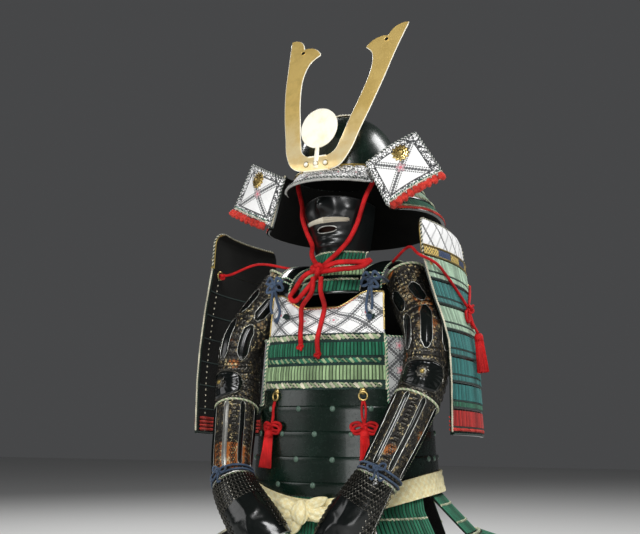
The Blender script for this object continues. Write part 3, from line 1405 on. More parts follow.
ARM_LEFT = (
    (124, 0, -8, 36, 40),
    (150, -24, -66, 38, 41),
    (189, -74, -130, 36, 39),
    (190, -94, -206, 36, 38),
    (172, -134, -280, 36, 35),
    (142, -186, -368, 33, 29),
    (104, -208, -440, 40, 28),
    (74, -214, -490, 42, 24),
)
ARM_RIGHT = (
    (-124, 2, -8, 36, 40),
    (-158, -24, -66, 38, 41),
    (-188, -64, -135, 37, 39),
    (-187, -78, -216, 36, 38),
    (-172, -116, -292, 36, 35),
    (-140, -174, -380, 33, 29),
    (-84, -200, -446, 40, 28),
    (-42, -212, -490, 42, 24),
)
CUFF = 0.73
ELBOW = 0.43


def arm_surface(rows):
    """The arm's skin by the angle round it from the front, the place along it and the distance out."""
    rows = np.asarray(rows, float)
    p = rows[:, :3]
    n = len(p)
    t = np.linspace(0, 1, 701)
    first = np.minimum((t * (n - 1)).astype(int), n - 2)
    w = (t * (n - 1) - first)[:, None]
    ends = np.concatenate([[2 * p[0] - p[1]], p, [2 * p[-1] - p[-2]]])
    p0, p1, p2, p3 = (ends[first + k] for k in range(4))
    d0, d1, d2 = (np.linalg.norm(b - a, axis=1, keepdims=True) ** 0.5 for a,
                  b in ((p0, p1), (p1, p2), (p2, p3)))
    m1 = ((p1 - p0) / d0 - (p2 - p0) / (d0 + d1) + (p2 - p1) / d1) * d1
    m2 = ((p2 - p1) / d1 - (p3 - p1) / (d1 + d2) + (p3 - p2) / d2) * d1
    middle = p1 + m1 * w + (3 * (p2 - p1) - 2 * m1 - m2) * w**2 + (2 * (p1 - p2) + m1 + m2) * w**3
    forward = unit(np.gradient(middle, axis=0))
    front = unit(np.cross(forward, (1.0, 0.0, 0.0)))
    aside = unit(np.cross(front, forward))
    half = np.stack([np.interp(t * (n - 1), np.arange(n), rows[:, k]) for k in (3, 4)], -1)

    def pick(values, at):
        return np.stack([np.interp(at, t, values[:, k]) for k in range(values.shape[1])], -1)

    def point(turn, along, out=0.0):
        turn, along, out = np.broadcast_arrays(*(np.asarray(c, float) for c in (turn, along, out)))
        at = np.clip(along, 0, 1)
        a = np.radians(turn)
        across, deep = np.moveaxis(pick(half, at), -1, 0)
        p = pick(middle, at) + pick(front, at) * (np.cos(a) * (deep + out))[..., None]
        return p + pick(aside, at) * (np.sin(a) * (across + out))[..., None]
    return point


ARM = {1: arm_surface(ARM_LEFT), -1: arm_surface(ARM_RIGHT)}


def plate(soup, surface, turn, spread, along, half, lift, thick, slots, taper=0.0, crown=1.5, rim=0.9,
          rib=0.0):
    """A lacquered plate on the sleeve, with a bright rim. taper makes its ends pointed."""
    def spot(a, b):
        wide = np.minimum(1.0, (1 - np.abs(2 * b - 1)) / max(taper, 1e-6) + 0.3) if taper else 1.0
        return surface(turn + (2 * a - 1) * spread * wide, along + (2 * b - 1) * half, lift)

    def domed(a, b):
        lifted = crown * (1 - (2 * a - 1) ** 2) * np.clip(1.6 * (1 - (2 * b - 1) ** 4), 0, 1)
        return lifted + rib * bell(2 * a - 1, 0.12)
    wall(soup, spot, span(0, 1, 12), span(0, 1, 16), thick, raised(spot, domed), size=(40, 80), slot=slots[0],
         inside=slots[0], edge=slots[0])
    edge = once_round(spot, 10, 24, 0.1, 0.05)
    tube(soup, smooth_line(edge, 60, True), rim, 5, slots[1], closed=True)


def mail(soup, surface, turns, alongs, spacing, slot, skip=None):
    """Small linked rings over a stretch of the sleeve."""
    middle = surface(np.array(sum(turns) / 2), np.array(sum(alongs) / 2))
    wide = length_of(surface(np.linspace(*turns, 40), sum(alongs) / 2))
    tall = length_of(surface(sum(turns) / 2, np.linspace(*alongs, 40)))
    nu, nv = max(2, round(wide / spacing)), max(2, round(tall / (spacing * 0.8)))
    i, j = np.meshgrid(np.arange(nu), np.arange(nv), indexing="ij")
    i, j = i.ravel().astype(float), j.ravel()
    u = turns[0] + (i + 0.5 + 0.5 * (j % 2)) / nu * (turns[1] - turns[0])
    v = alongs[0] + (j + 0.5) / nv * (alongs[1] - alongs[0])
    if skip is not None:
        keep = ~skip(u, v)
        u, v, j = u[keep], v[keep], j[keep]
    if len(u) == 0 or middle is None:
        return
    at = surface(u, v, 0.9)
    across = unit(surface(u + 0.5, v, 0.9) - surface(u - 0.5, v, 0.9))
    down = unit(surface(u, v + 0.002, 0.9) - surface(u, v - 0.002, 0.9))
    facing = unit(np.cross(down, across))
    lean = np.where(j % 2 == 0, 0.35, -0.35)[:, None]
    first = across
    second = unit(down + facing * lean)
    out = np.cross(first, second)
    big, small = spacing * 0.52, 0.66
    a = np.arange(6) / 6 * 2 * np.pi
    b = np.arange(3) / 3 * 2 * np.pi
    radial = first[:, None, :] * np.cos(a)[None, :, None] + second[:, None, :] * np.sin(a)[None, :, None]
    points = at[:, None, None, :] + radial[:, :, None, :] * (big + small * np.cos(b))[None, None, :, None]
    points = points + out[:, None, None, :] * (small * np.sin(b))[None, None, :, None]
    ai, bi = np.meshgrid(np.arange(6), np.arange(3), indexing="ij")
    ai, bi = ai.ravel(), bi.ravel()
    one = np.stack([ai * 3 + bi, (ai + 1) % 6 * 3 + bi, (ai + 1) % 6 * 3 + (bi + 1) % 3,
                    ai * 3 + (bi + 1) % 3], 1)
    if signed(points[0].reshape(-1, 3) - at[0], one) < 0:
        one = one[:, ::-1]
    faces = (np.arange(len(u))[:, None, None] * 18 + one[None]).reshape(-1, 4)
    soup.add(points.reshape(-1, 3), faces, np.zeros((len(faces), 4, 2)), slot)


def folded_turn(turn):
    return np.mod(np.asarray(turn, float) + 540, 360) - 180


def make_sleeve(side):
    """Brocade cloth, with a wrinkled elbow, under mail, lacquered plates and splints."""
    end = END[side]
    point = ARM[side]

    def plain(u, v):
        return point(u * 360, v * CUFF)

    def wrinkled(u, v):
        along = v * CUFF
        a = u * 2 * np.pi
        bend = bell(along - ELBOW, 0.085) * (1.1 + np.sin(along * 210 + 2.2 * np.sin(a) + np.sin(3 * a)))
        upper = bell(along - 0.08, 0.07) * (0.9 + np.sin(along * 150 + 3 * np.sin(a + 1)))
        slack = 0.5 * np.sin(a * 3 + along * 22) * np.sin(along * 40)
        return 0.7 * bend + 0.6 * upper + slack + 0.3
    soup = Soup()
    round_it = length_of(point(np.linspace(0, 360, 100), 0.4))
    tall = length_of(point(0.0, np.linspace(0, CUFF, 80)))
    wall(soup, plain, span(0, 1, 44), span(0, 1, 80), CLOTH, raised(plain, wrinkled), wrap=True,
         size=(round_it, tall), slot=0, inside=1, edge=2)
    cloth = done(soup, f"sleeve_cloth_{end}", ["sleeve", "lining", "cream_edge"],
                 [f"sleeve_{end}"],
                 sharp=80)

    soup = Soup()
    for along, spread in ((0.155, 15), (0.285, 15)):
        for turn in (20 * side, -38 * side, 78 * side):
            plate(soup, point, turn, spread, along, 0.056, 3.0, 1.6, (0, 1), taper=0.55, rim=0.7, rib=0.7)
    for turn in (0, 45, -45, 92, -92):
        skin = (1, 1) if turn == 0 and side < 0 else (0, 1)
        plate(soup, point, turn, 6.5, 0.6, 0.098, 3.4, 1.8, skin, taper=0.12, crown=2.2, rim=0.7, rib=0.8)
    names = ["gloss", "steel"]
    done(soup, f"sleeve_plates_{end}", names)

    soup = Soup()

    def under_plate(u, v):
        hidden = np.zeros(u.shape, bool)
        for along in (0.155, 0.285):
            for turn in (20 * side, -38 * side, 78 * side):
                hidden |= (np.abs(folded_turn(u - turn)) < 17) & (np.abs(v - along) < 0.045)
        return hidden
    mail(soup, lambda u, v, out=0.0: point(u, v, out + 1.6), (-110, 120), (0.03, 0.36), 8.0, 0, under_plate)
    mail(soup, lambda u, v, out=0.0: point(u, v, out + 2.2), (-100, 110), (0.36, 0.5), 6.8, 0)
    for turn in (22.5, -22.5, 68, -68):
        mail(soup, lambda u, v, out=0.0: point(u, v, out + 1.8), (turn - 6, turn + 6), (0.51, 0.7), 5.8, 0)
    mail(soup, lambda u, v, out=0.0: point(u, v, out + 1.8), (-115, 115), (0.695, 0.73), 6.6, 0)
    done(soup, f"sleeve_mail_{end}", ["iron"])

    soup = Soup()
    for turn in (-128, 138):
        line = point(np.full(120, float(turn)), np.linspace(0.01, CUFF - 0.005, 120), 2.2)
        twist(soup, line[::2], 2.4, 9, (0, 1))
    for along in (0.006, 0.497, 0.722):
        ring = point(np.linspace(0, 360, 61)[:-1], np.full(60, along), 3.0)
        twist(soup, smooth_line(ring, 60, True), 2.5, 9, (0, 1), closed=True)
    done(soup, f"sleeve_braid_{end}", ["cream_twist", "sage_twist"])


def make_elbow(side):
    """A fluted dome with a gilt rim and a rosette."""
    end = END[side]
    point = ARM[side]

    def plain(u, v):
        x, y = 2 * np.asarray(u, float) - 1, 2 * np.asarray(v, float) - 1
        x, y = x * np.sqrt(1 - 0.42 * y * y), y * np.sqrt(1 - 0.42 * x * x)
        bulge = 7 * (1 - x * x) * (1 - y * y)
        return point(60 * x + 18 * side, ELBOW + 0.055 * y, SEAM + PLATE + 0.75 + bulge)

    def fluted(u, v):
        x, y = 2 * u - 1, 2 * v - 1
        far = np.maximum(np.abs(x), np.abs(y))
        rays = 0.7 * np.abs(np.sin(9 * np.arctan2(y, x))) * ease(far, 0.35, 0.55) * (1 - ease(far, 0.8, 0.95))
        return rays + 0.9 * bell(far - 0.84, 0.04)
    soup = Soup()
    wall(soup, plain, span(0, 1, 48), span(0, 1, 38), PLATE, raised(plain, fluted), size=(80, 60), edge=0)
    edge = once_round(plain, 30, 20, 0.05, 0.05)
    tube(soup, smooth_line(edge, 120, True), 1.3, 8, 3, closed=True)
    at, facing = on(plain, 0.5, 0.5), normal_of(plain, 0.5, 0.5)
    dome(soup, at, facing, 11, 3.2, 3, 40, 6, lobes=8)
    dome(soup, at + facing * 2.6, facing, 4.5, 3.0, 2, 20, 5)
    done(soup, f"elbow_dome_{end}", ["gloss", "lining", "old_gilt", "iron"],
         [f"elbow_{end}"])


def make_hand(side):
    """The plate over the back of the hand, with raised scrolls and a bright rim."""
    end = END[side]
    point = ARM[side]

    def plain(u, v):
        turn = mix(-84, 84, u) - 8 * side
        swell = 6 * np.sin(np.pi * np.clip(v, 0, 1)) * bell(2 * u - 1, 0.8)
        return point(turn, mix(CUFF - 0.012, 0.995, v), SEAM + PLATE + 1.5 + swell)

    def embossed(u, v):
        x, y = (u - 0.5) * 116, (v - 0.55) * 92
        far = np.hypot(x, y)
        petals = 1.3 * np.clip(np.cos(5 * np.arctan2(y, x) + far * 0.09), 0, 1) * bell(far - 20, 13)
        heart = 2.4 * bell(far, 7)
        waves = 0.9 * (0.5 + 0.5 * np.sin(x * 0.24 + 2 * np.sin(y * 0.11))) * ease(far, 32, 40)
        inside = ease(u, 0.02, 0.07) * ease(1 - u, 0.02, 0.07) * ease(v, 0.03, 0.09) * ease(1 - v, 0.03, 0.09)
        return 0.8 * (petals + heart + waves) * inside + 0.9 * bell(v - 0.06, 0.012)
    soup = Soup()
    wall(soup, plain, span(0, 1, 56), span(0, 1, 42), PLATE, raised(plain, embossed), size=(116, 92), edge=0)
    edge = once_round(plain, 40, 24, 0.05, 0.05)
    tube(soup, smooth_line(edge, 100, True), 1.2, 6, 2, closed=True)

    def skin(u, v, out=0.0):
        a, b = (u + 84 + 8 * side) / 168, (v - CUFF + 0.012) / (0.995 - CUFF + 0.012)
        return point(u, v, out + 4.6 + 6 * np.sin(np.pi * np.clip(b, 0, 1)) * bell(2 * a - 1, 0.8))
    mail(soup, skin, (-88 - 8 * side, 88 - 8 * side), (0.722, 0.8), 5.8, 3)
    for low, high in ((-88, -50), (50, 88)):
        mail(soup, skin, (low - 8 * side, high - 8 * side), (0.8, 0.96), 5.8, 3)
    done(soup, f"hand_plate_{end}", ["gloss", "lining", "steel", "iron"], [f"hand_{end}"])


# The helmet, in its own upright frame before it is tilted and turned

HEAD_AT = np.array([15.0, -6.0, 100.0])
HEAD_TURN = math.radians(-4)
HEAD_ROLL = math.radians(-3.2)
BOWL_WIDE = 96
BOWL_DEEP = 110
BOWL_RIM = 184
BOWL_HEIGHT = 116
HOLE_RISE = 79
VISOR_SPREAD = 56
MASK_SPREAD = 70
MASK_TOP = 130
MASK_END = 30


def to_world(points):
    p = np.asarray(points, float) - (0, 0, HEAD_AT[2])
    c, s = math.cos(HEAD_ROLL), math.sin(HEAD_ROLL)
    x, y, z = p[..., 0] * c + p[..., 2] * s, p[..., 1], p[..., 2] * c - p[..., 0] * s
    c, s = math.cos(HEAD_TURN), math.sin(HEAD_TURN)
    return np.stack([x * c - y * s, x * s + y * c, z], -1) + HEAD_AT


def bowl(angle, rise, out=0.0):
    angle, rise, out = np.broadcast_arrays(*(np.asarray(c, float) for c in (angle, rise, out)))
    a, b = np.radians(angle), np.radians(rise)
    r = np.cos(b) ** 0.86
    p = vec(BOWL_WIDE * r * np.sin(a), -BOWL_DEEP * r * np.cos(a), BOWL_RIM + BOWL_HEIGHT * np.sin(b))
    flat = unit(vec(np.sin(a) / BOWL_WIDE, -np.cos(a) / BOWL_DEEP, 0)) * np.cos(b)[..., None]
    return p + unit(flat + vec(0 * b, 0 * b, np.sin(b))) * out[..., None]


PLATES = 8


def make_bowl():
    """The smooth lacquered bowl of eight plates, whose seams show as fine lines, with a rolled rim."""
    def plain(u, v):
        return bowl(u * 360, mix(HOLE_RISE, 0, v))

    def ribbed(u, v):
        part = np.abs(np.mod(u * PLATES + 0.5, 1.0) - 0.5)
        return 0.3 - 0.25 * bell(part, 0.012) * ease(v, 0.0, 0.12) + 1.4 * bell(v - 0.985, 0.012)
    soup = Soup()
    cuts = np.concatenate([[0, 0.025], np.linspace(0.08, 0.92, 10), [0.975]])
    us = np.append((np.arange(PLATES)[:, None] + cuts).ravel() / PLATES, 1.0)
    wall(soup, plain, us, span(0, 1, 24), PLATE, raised(plain, ribbed), wrap=True, size=(640, 150), edge=0)
    for k in range(2 * PLATES):
        u = (k + 0.5) / PLATES / 2
        at = on(plain, u, 0.93)
        dome(soup, at, normal_of(plain, u, 0.93), 2.2, 1.4, 2, 10, 3)
    done(soup, "bowl_lacquered", ["lacquer", "lining", "rivet"], ["helmet_bowl"],
         move=to_world)


def make_crown_ring():
    """The gilt ring at the crown: a petalled collar, a beaded edge and a chased cup."""
    base = float(bowl(0, HOLE_RISE)[2]) + 0.3
    stretch = BOWL_DEEP / BOWL_WIDE

    def place(x, y, h):
        return vec(x, y * stretch, base + h)
    soup = Soup()
    profile = [(17, 0), (29, 0), (29.6, 0.8), (28, 1.8), (26.4, 2.4), (26, 4), (23, 4.6), (19.4, 5.8),
               (17, 6)]
    lathe(soup, profile, 96, place, 0, ring=True)
    for r, h, size, count in ((28.6, 1.6, 1.1, 66), (22.4, 5.2, 1.0, 48)):
        for k in range(count):
            a = k / count * 2 * math.pi
            at = place(np.asarray(r * math.cos(a)), np.asarray(r * math.sin(a)), np.asarray(float(h)))
            dome(soup, at, (0, 0, 1), size, size, 1, 6, 3)
    done(soup, "crown_ring_gilt", ["gilt", "pale_gilt"], ["crown_ring"], move=to_world)


def visor_plain(u, v):
    side = np.asarray(u, float) * 2 - 1
    angle = side * VISOR_SPREAD
    root = bowl(angle, 0, SEAM + PLATE - 0.3)
    a = np.radians(angle)
    reach = v * (48 * bell(side, 1.3) + 4)
    return root + vec(np.sin(a) * reach * 0.35, -np.cos(a) * reach, -np.asarray(v) * 36)


def make_visor():
    soup = Soup()
    wide = length_of(on(visor_plain, np.linspace(0, 1, 60), 0.6))
    tall = 62
    wall(soup, visor_plain, span(0, 1, 60), span(0, 1, 20), PLATE, size=(wide, tall), inside=1, edge=2)
    low = on(visor_plain, np.linspace(0.1, 0.94, 60), 1.0)
    twist(soup, low, 2.6, 9, (2, 2))
    twist(soup, on(raised(visor_plain, 1.4), np.linspace(0.03, 0.97, 60), 0.86), 1.7, 6, (4, 2))
    root = on(raised(visor_plain, 1.2), np.linspace(0, 1, 60), 0.03)
    tube(soup, root, 1.6, 8, 3)
    for u in np.linspace(0.06, 0.94, 9):
        at = on(visor_plain, u, 0.09)
        dome(soup, at, normal_of(visor_plain, u, 0.09), 2.6, 1.8, 3, 12, 4)
    leather = stencil("visor_leather", wide, tall, "dotted", border=29.0, cell=(34.0, 30.0), age=0.3)
    names = [leather, "lining", "grey_rim", "old_gilt", "black_line"]
    done(soup, "visor_leather_brim", names, ["visor"], move=to_world)


END_TOP = np.array([86.0, -90.0, 180.0])
END_LOW = np.array([124.0, -90.0, 96.0])
TURN_OUT_TOP = np.array([174.0, -62.0, 228.0])
TURN_OUT_LOW = np.array([222.0, -62.0, 146.0])
TURN_THICK = 3
BRAID_R = 6.4


def polar(p):
    return math.degrees(math.atan2(p[0], -p[1])), math.hypot(p[0], p[1])


def neck_guard(angle, v):
    top_angle, top_r = polar(END_TOP)
    low_angle, low_r = polar(END_LOW)
    folded = np.abs(folded_turn(angle))
    a = np.radians(angle)
    rim = np.hypot(BOWL_WIDE * np.sin(a), BOWL_DEEP * np.cos(a)) + SEAM + LACED - 0.3
    high_r = mix(rim, top_r, bell(folded - top_angle, 16))
    wide_r = mix(170, 188, ease(folded, 90, 180))
    wide_r = mix(wide_r, low_r, bell(folded - low_angle, 16))
    r = mix(high_r, wide_r, np.clip(v, 0, 1) ** 0.85)
    z = mix(BOWL_RIM + 4, mix(92, 74, ease(folded, 60, 180)), v)
    return vec(r * np.sin(a), -r * np.cos(a), z)


NECK_LAMES = 4
NECK_TALL = 118


def make_neck_guard():
    """Four laced lames that spread out behind the neck, with a coral lower edge."""
    start = polar(END_TOP)[0], polar(END_LOW)[0]

    def plain(u, d):
        v = np.asarray(d, float) / NECK_TALL
        first = mix(*start, v) + 1.2
        return neck_guard(mix(first, 360 - first, u), v)
    soup = Soup()
    for k in range(NECK_LAMES):
        top, low = NECK_TALL * k / NECK_LAMES, NECK_TALL * (k + 1) / NECK_LAMES
        shaped = lapped(plain, [top, low - 2, low], [0.1, STEP, STEP * 0.8])
        wide = length_of(on(plain, np.linspace(0, 1, 120), (top + low) / 2))
        rows = [top, top + 1, (top + low) / 2, low - 4, low - 2, low]
        wall(soup, plain, span(0, 1, 90), rows, LACED, shaped, size=(wide, 1), slot=0, inside=1, edge=0)
        laced(soup, shaped, wide - 6, top + 2.5, low - 9.5, 2 if k % 2 else 3, rows=2, high=1.3)
        if k < NECK_LAMES - 1:
            rope(soup, shaped, low - 6, 3.2, 11, (4, 5), 0.55)
        else:
            rope(soup, shaped, low - 8.0, 3.0, 11, (4, 5), 0.55)
            rope(soup, shaped, low - 2.6, 3.4, 11, (6, 6), 0.6)
    for u in (0.0, 1.0):
        line = on(raised(plain, 0.4), np.full(40, u), np.linspace(1, NECK_TALL - 1, 40))
        twist(soup, line[::2], 2.3, 8, (4, 4))
    names = ["lacquer", "lining", "dark_lace", "pale_lace", "cream_twist", "sage_twist", "coral_twist"]
    done(soup, "neck_guard_laced", names, ["neck_guard"], move=to_world)


def turnback_plain(side):
    def plain(u, v):
        u, v = np.broadcast_arrays(np.asarray(u, float), np.asarray(v, float))
        part = u if side > 0 else 1 - u
        inner = END_TOP + (END_LOW - END_TOP) * v[..., None]
        outer = TURN_OUT_TOP + (TURN_OUT_LOW - TURN_OUT_TOP) * v[..., None]
        p = inner + (outer - inner) * part[..., None]
        return vec(p[..., 0] * side, p[..., 1] - 9 * np.sin(np.pi * part) - 5, p[..., 2])
    return plain


def make_turnback(side):
    """The folded-back front of the neck guard in stencilled leather."""
    end = END[side]
    plain = turnback_plain(side)
    soup = Soup()
    wide, tall = 108, 94
    wall(soup, plain, span(0, 1, 36), span(0, 1, 30), TURN_THICK, size=(wide, tall), inside=1, edge=2)
    edge = np.concatenate([on(plain, 0.0, np.linspace(0.98, 0.02, 24)), on(plain, np.linspace(0, 1, 30), 0.0),
                           on(plain, 1.0, np.linspace(0.02, 0.98, 24))])
    twist(soup, smooth_line(edge[::2], 120), 1.9, 7, (2, 3))
    leather = stencil(f"turnback_leather_{end}", wide, tall, "saltire", border=13.0, age=0.15)
    done(soup, f"turnback_leather_{end}", [leather, "lining", "grey_rim", "black_line"],
         [f"turnback_{end}"],
         move=to_world)

    soup = Soup()
    low, high = (0.06, 1.0) if side > 0 else (0.0, 0.94)
    us = np.linspace(low, high, 60)
    below = unit(on(plain, us, 1.0) - on(plain, us, 0.9))
    inner = -normal_of(plain, us, np.full(60, 1.0)) * (TURN_THICK / 2)
    line = on(plain, us, 1.0) + inner + below * (BRAID_R + SEAM - 0.1)
    twist(soup, smooth_line(line[::4], 60), BRAID_R * 0.6, 22, (0, 1), sides=8)
    knots = 9 if side > 0 else 8
    for k in range(knots):
        at = line[round((k + 0.5) / knots * 59)]
        facing = unit(on(raised(plain, 1.0), 0.5, 1.0) - on(plain, 0.5, 1.0))
        knot(soup, at + facing * 1.2, facing, 4.9, 3.5, 0, spin=0.4 * k)
    above = on(raised(plain, 0.8), us, 0.965)
    tube(soup, above, 1.2, 8, 1)
    for u in np.linspace(low + 0.03, high - 0.03, 22):
        at = on(plain, u, 0.925)
        dome(soup, at, normal_of(plain, u, 0.925), 1.5, 1.1, 2, 8, 3)
    done(soup, f"turnback_knots_{end}", ["coral_twist", "cream_twist", "green_twist"],
         [f"turnback_braid_{end}"], move=to_world)

    soup = Soup()
    u = 0.62 if side > 0 else 0.38
    at, facing = on(plain, u, 0.24), normal_of(plain, u, 0.24)
    dome(soup, at + facing * 0.3, facing, 15, 3.2, 0, 64, 7, lobes=12)
    ring = np.linspace(0, 2 * np.pi, 49)[:-1]
    circle = seat(at, facing)(np.cos(ring) * 9.5, np.sin(ring) * 9.5, np.full(48, 3.0))
    twist(soup, circle, 1.2, 4, (1, 1), closed=True)
    dome(soup, at + facing * 2.4, facing, 7.4, 4.2, 1, 40, 6, lobes=8)
    dome(soup, at + facing * 5.6, facing, 2.6, 2.0, 0, 16, 4)
    done(soup, f"turnback_boss_{end}", ["gilt", "old_gilt"], [f"boss_{end}"], move=to_world)


# The crest

CREST_BASE = np.array([3.0, -128.0, 188.7])
CREST_LEAN = 0.31
CREST_CURVE = 0.0004
CREST_TILT = math.radians(4)
HORN_OUTER = ((24, -15), (50, -6), (67, 21), (77, 56), (91, 104), (105, 162), (114, 212), (128, 282))
HORN_INNER = ((50, 238), (67, 222), (74, 188), (67, 138), (54, 88), (43, 45), (34, 21), (18, 12))
HORN_NOTCH = (92, 256)
LOBE_OUTER = (100, 284)
LOBE_INNER = (66, 262)
DISC_R = 38
DISC_AT = 66
DISC_LEAN = 0.15
DISC_FORWARD = 2.1
STEM_HALF = 4
STEM_FOOT = -10


def stand(x, h, y, lean=CREST_LEAN, curve=CREST_CURVE):
    """A point of a flat piece that stands on the visor's root and leans back."""
    x, h, y = np.broadcast_arrays(*(np.asarray(c, float) for c in (x, h, y)))
    up = np.maximum(h, 0)
    y = y + lean * up + curve * up * up
    c, s = math.cos(CREST_TILT), math.sin(CREST_TILT)
    return vec(x * c + h * s, y, h * c - x * s) + CREST_BASE


def quadratic(a, b, c, t):
    a, b, c = (np.asarray(p, float) for p in (a, b, c))
    t = t[:, None]
    return a * (1 - t) ** 2 + 2 * b * t * (1 - t) + c * t * t


def horn_outline():
    outer = smooth_line([(x, 0, h) for x, h in HORN_OUTER], 80)[:, [0, 2]]
    inner = smooth_line([(x, 0, h) for x, h in HORN_INNER[::-1]], 80)[:, [0, 2]]
    t = np.linspace(0, 1, 13)
    first = quadratic(HORN_OUTER[-1], LOBE_OUTER, HORN_NOTCH, t)
    second = quadratic(HORN_NOTCH, LOBE_INNER, HORN_INNER[0], t)
    return outer, inner, np.concatenate([first, second[1:]])


def make_crest():
    """Two leaning horns whose tips end in two lobes, on a riveted base."""
    outer, inner, top = horn_outline()
    soup = Soup()
    for side in (1, -1):
        def plain(u, v, side=side):
            u, v = np.broadcast_arrays(np.asarray(u, float), np.asarray(v, float))
            at = np.linspace(0, 1, 81)
            o = np.stack([np.interp(v, at, outer[:, k]) for k in (0, 1)], -1)
            i = np.stack([np.interp(v, at, inner[:, k]) for k in (0, 1)], -1)
            spots = np.linspace(0, 1, 25)
            lobes = np.stack([np.interp(u, spots, top[:, k]) for k in (0, 1)], -1)
            chord = top[0] + (top[-1] - top[0]) * u[..., None]
            p = o + (i - o) * u[..., None] + (lobes - chord) * (np.clip(v, 0, 1) ** 9)[..., None]
            return stand(p[..., 0] * side, p[..., 1], -2.0)

        def swelled(u, v):
            return 0.1 + 0.9 * (1 - (2 * u - 1) ** 2) ** 0.5
        flip = side < 0
        grid = np.concatenate([np.linspace(0, 0.85, 40), np.linspace(0.87, 1, 14)])
        wall(soup, plain, span(0, 1, 20), grid, 2.0, raised(plain, swelled, flip), size=(60, 300), slot=0,
             inside=0,
             edge=1, flip=flip)
        rim = np.concatenate([on(plain, 0.0, np.linspace(0.03, 1, 60)),
                              on(plain, np.linspace(0.04, 0.96, 24), 1.0),
                              on(plain, 1.0, np.linspace(1, 0.03, 60))])
        facing = normal_of(plain, 0.5, 0.5, flip)
        tube(soup, smooth_line(rim[::2], 110) + facing * -0.9, 1.05, 6, 1)
        x, h = HORN_NOTCH
        eye = stand((x - 1) * side, h - 8.0, -3.4)
        ring = np.linspace(0, 2 * np.pi, 25)[:-1]
        tube(soup, seat(eye, facing)(np.cos(ring) * 4.6, np.sin(ring) * 4.6, np.zeros(24)), 0.8, 6, 0,
             closed=True)
        dome(soup, eye, facing, 4.3, 0.3, 3, 24, 3)

    def base(u, v):
        x = mix(-1, 1, u) * mix(25, 19, v)
        return stand(x, mix(-15, 12, v), -2.0)

    def bowed(u, v):
        return 1.4 + 0.5 * (1 - (2 * v - 1) ** 2)
    wall(soup, base, span(0, 1, 24), span(0, 1, 10), 3.0, raised(base, bowed, True), size=(50, 27), slot=0,
         inside=0,
         edge=1, flip=True)
    low, high = on(base, np.linspace(0, 1, 20), 0.0), on(base, np.linspace(0, 1, 20), 1.0)
    tube(soup, low + (0, -1.6, 0), 1.5, 8, 1)
    tube(soup, high + (0, -1.6, 0), 1.5, 8, 1)
    for x in (-20, 0, 20):
        at = stand(x, -2.0, -4.2)
        dome(soup, at, (0, -1, 0), 5.6, 0.8, 2, 24, 3)
        dome(soup, at + (0, -0.5, 0), (0, -1, 0), 4.2, 3.4, 1, 20, 5)
    done(soup, "crest_pair", ["horn", "pale_gilt", "old_gilt", "lining"], ["crest_horns"],
         move=to_world)


def make_disc():
    """The pale disc on its stem between the horns."""
    soup = Soup()

    def place(x, y, h):
        return stand(x, DISC_AT + y, -h - DISC_FORWARD, DISC_LEAN, 0)
    profile = [(0.4, 0), (DISC_R, 0), (DISC_R, 1.4), (DISC_R - 1.2, 2.1), (DISC_R - 3, 2.2),
               (DISC_R - 8, 2.5), (0.4, 3.2)]
    lathe(soup, profile, 96, place, 0)

    def stem(u, v):
        x = mix(-STEM_HALF, STEM_HALF, u) * mix(1.25, 0.9, v)
        return stand(x, mix(STEM_FOOT, DISC_AT - DISC_R + 2, v), -2.0 - DISC_FORWARD, DISC_LEAN, 0)

    def ridge(u, v):
        return 1.0 * (1 - (2 * u - 1) ** 2)
    wall(soup, stem, span(0, 1, 8), span(0, 1, 10), 2.0, raised(stem, ridge, True), size=(8, 40), slot=0,
         inside=0,
         flip=True)
    done(soup, "crest_disc_pale", ["pale_gilt"], ["crest_disc"], move=to_world)


# The half mask and the throat guard

MASK_FORWARD = -6
LIP_Z = 70
LIP_HALF = 21
LIP_OPEN = 5


def mask_form(angle, z):
    nose = 24 * bell(angle, 9) * bell(z - 112, 15)
    cheek = 7 * bell(np.abs(angle) - 34, 14) * bell(z - 104, 16)
    lip = 6 * bell(angle, 24) * bell(z - 84, 7)
    under = 5 * bell(angle, 18) * bell(z - 58, 5)
    chin = 11 * bell(angle, 20) * bell(z - 42, 11)
    return nose + cheek + lip + under + chin


def mask_point(angle, z, out=0.0):
    angle, z, out = np.broadcast_arrays(*(np.asarray(c, float) for c in (angle, z, out)))
    a = np.radians(angle)
    part = np.clip((MASK_TOP - z) / (MASK_TOP - MASK_END), 0, 1)
    rx = mix(78, 58, part**1.5)
    ry = mix(98, 90, part)
    far = out + mask_form(angle, z)
    return vec((rx + far) * np.sin(a), MASK_FORWARD - (ry + far) * np.cos(a), z)


def mask_top(angle):
    return MASK_TOP - 20 * (angle / MASK_SPREAD) ** 2


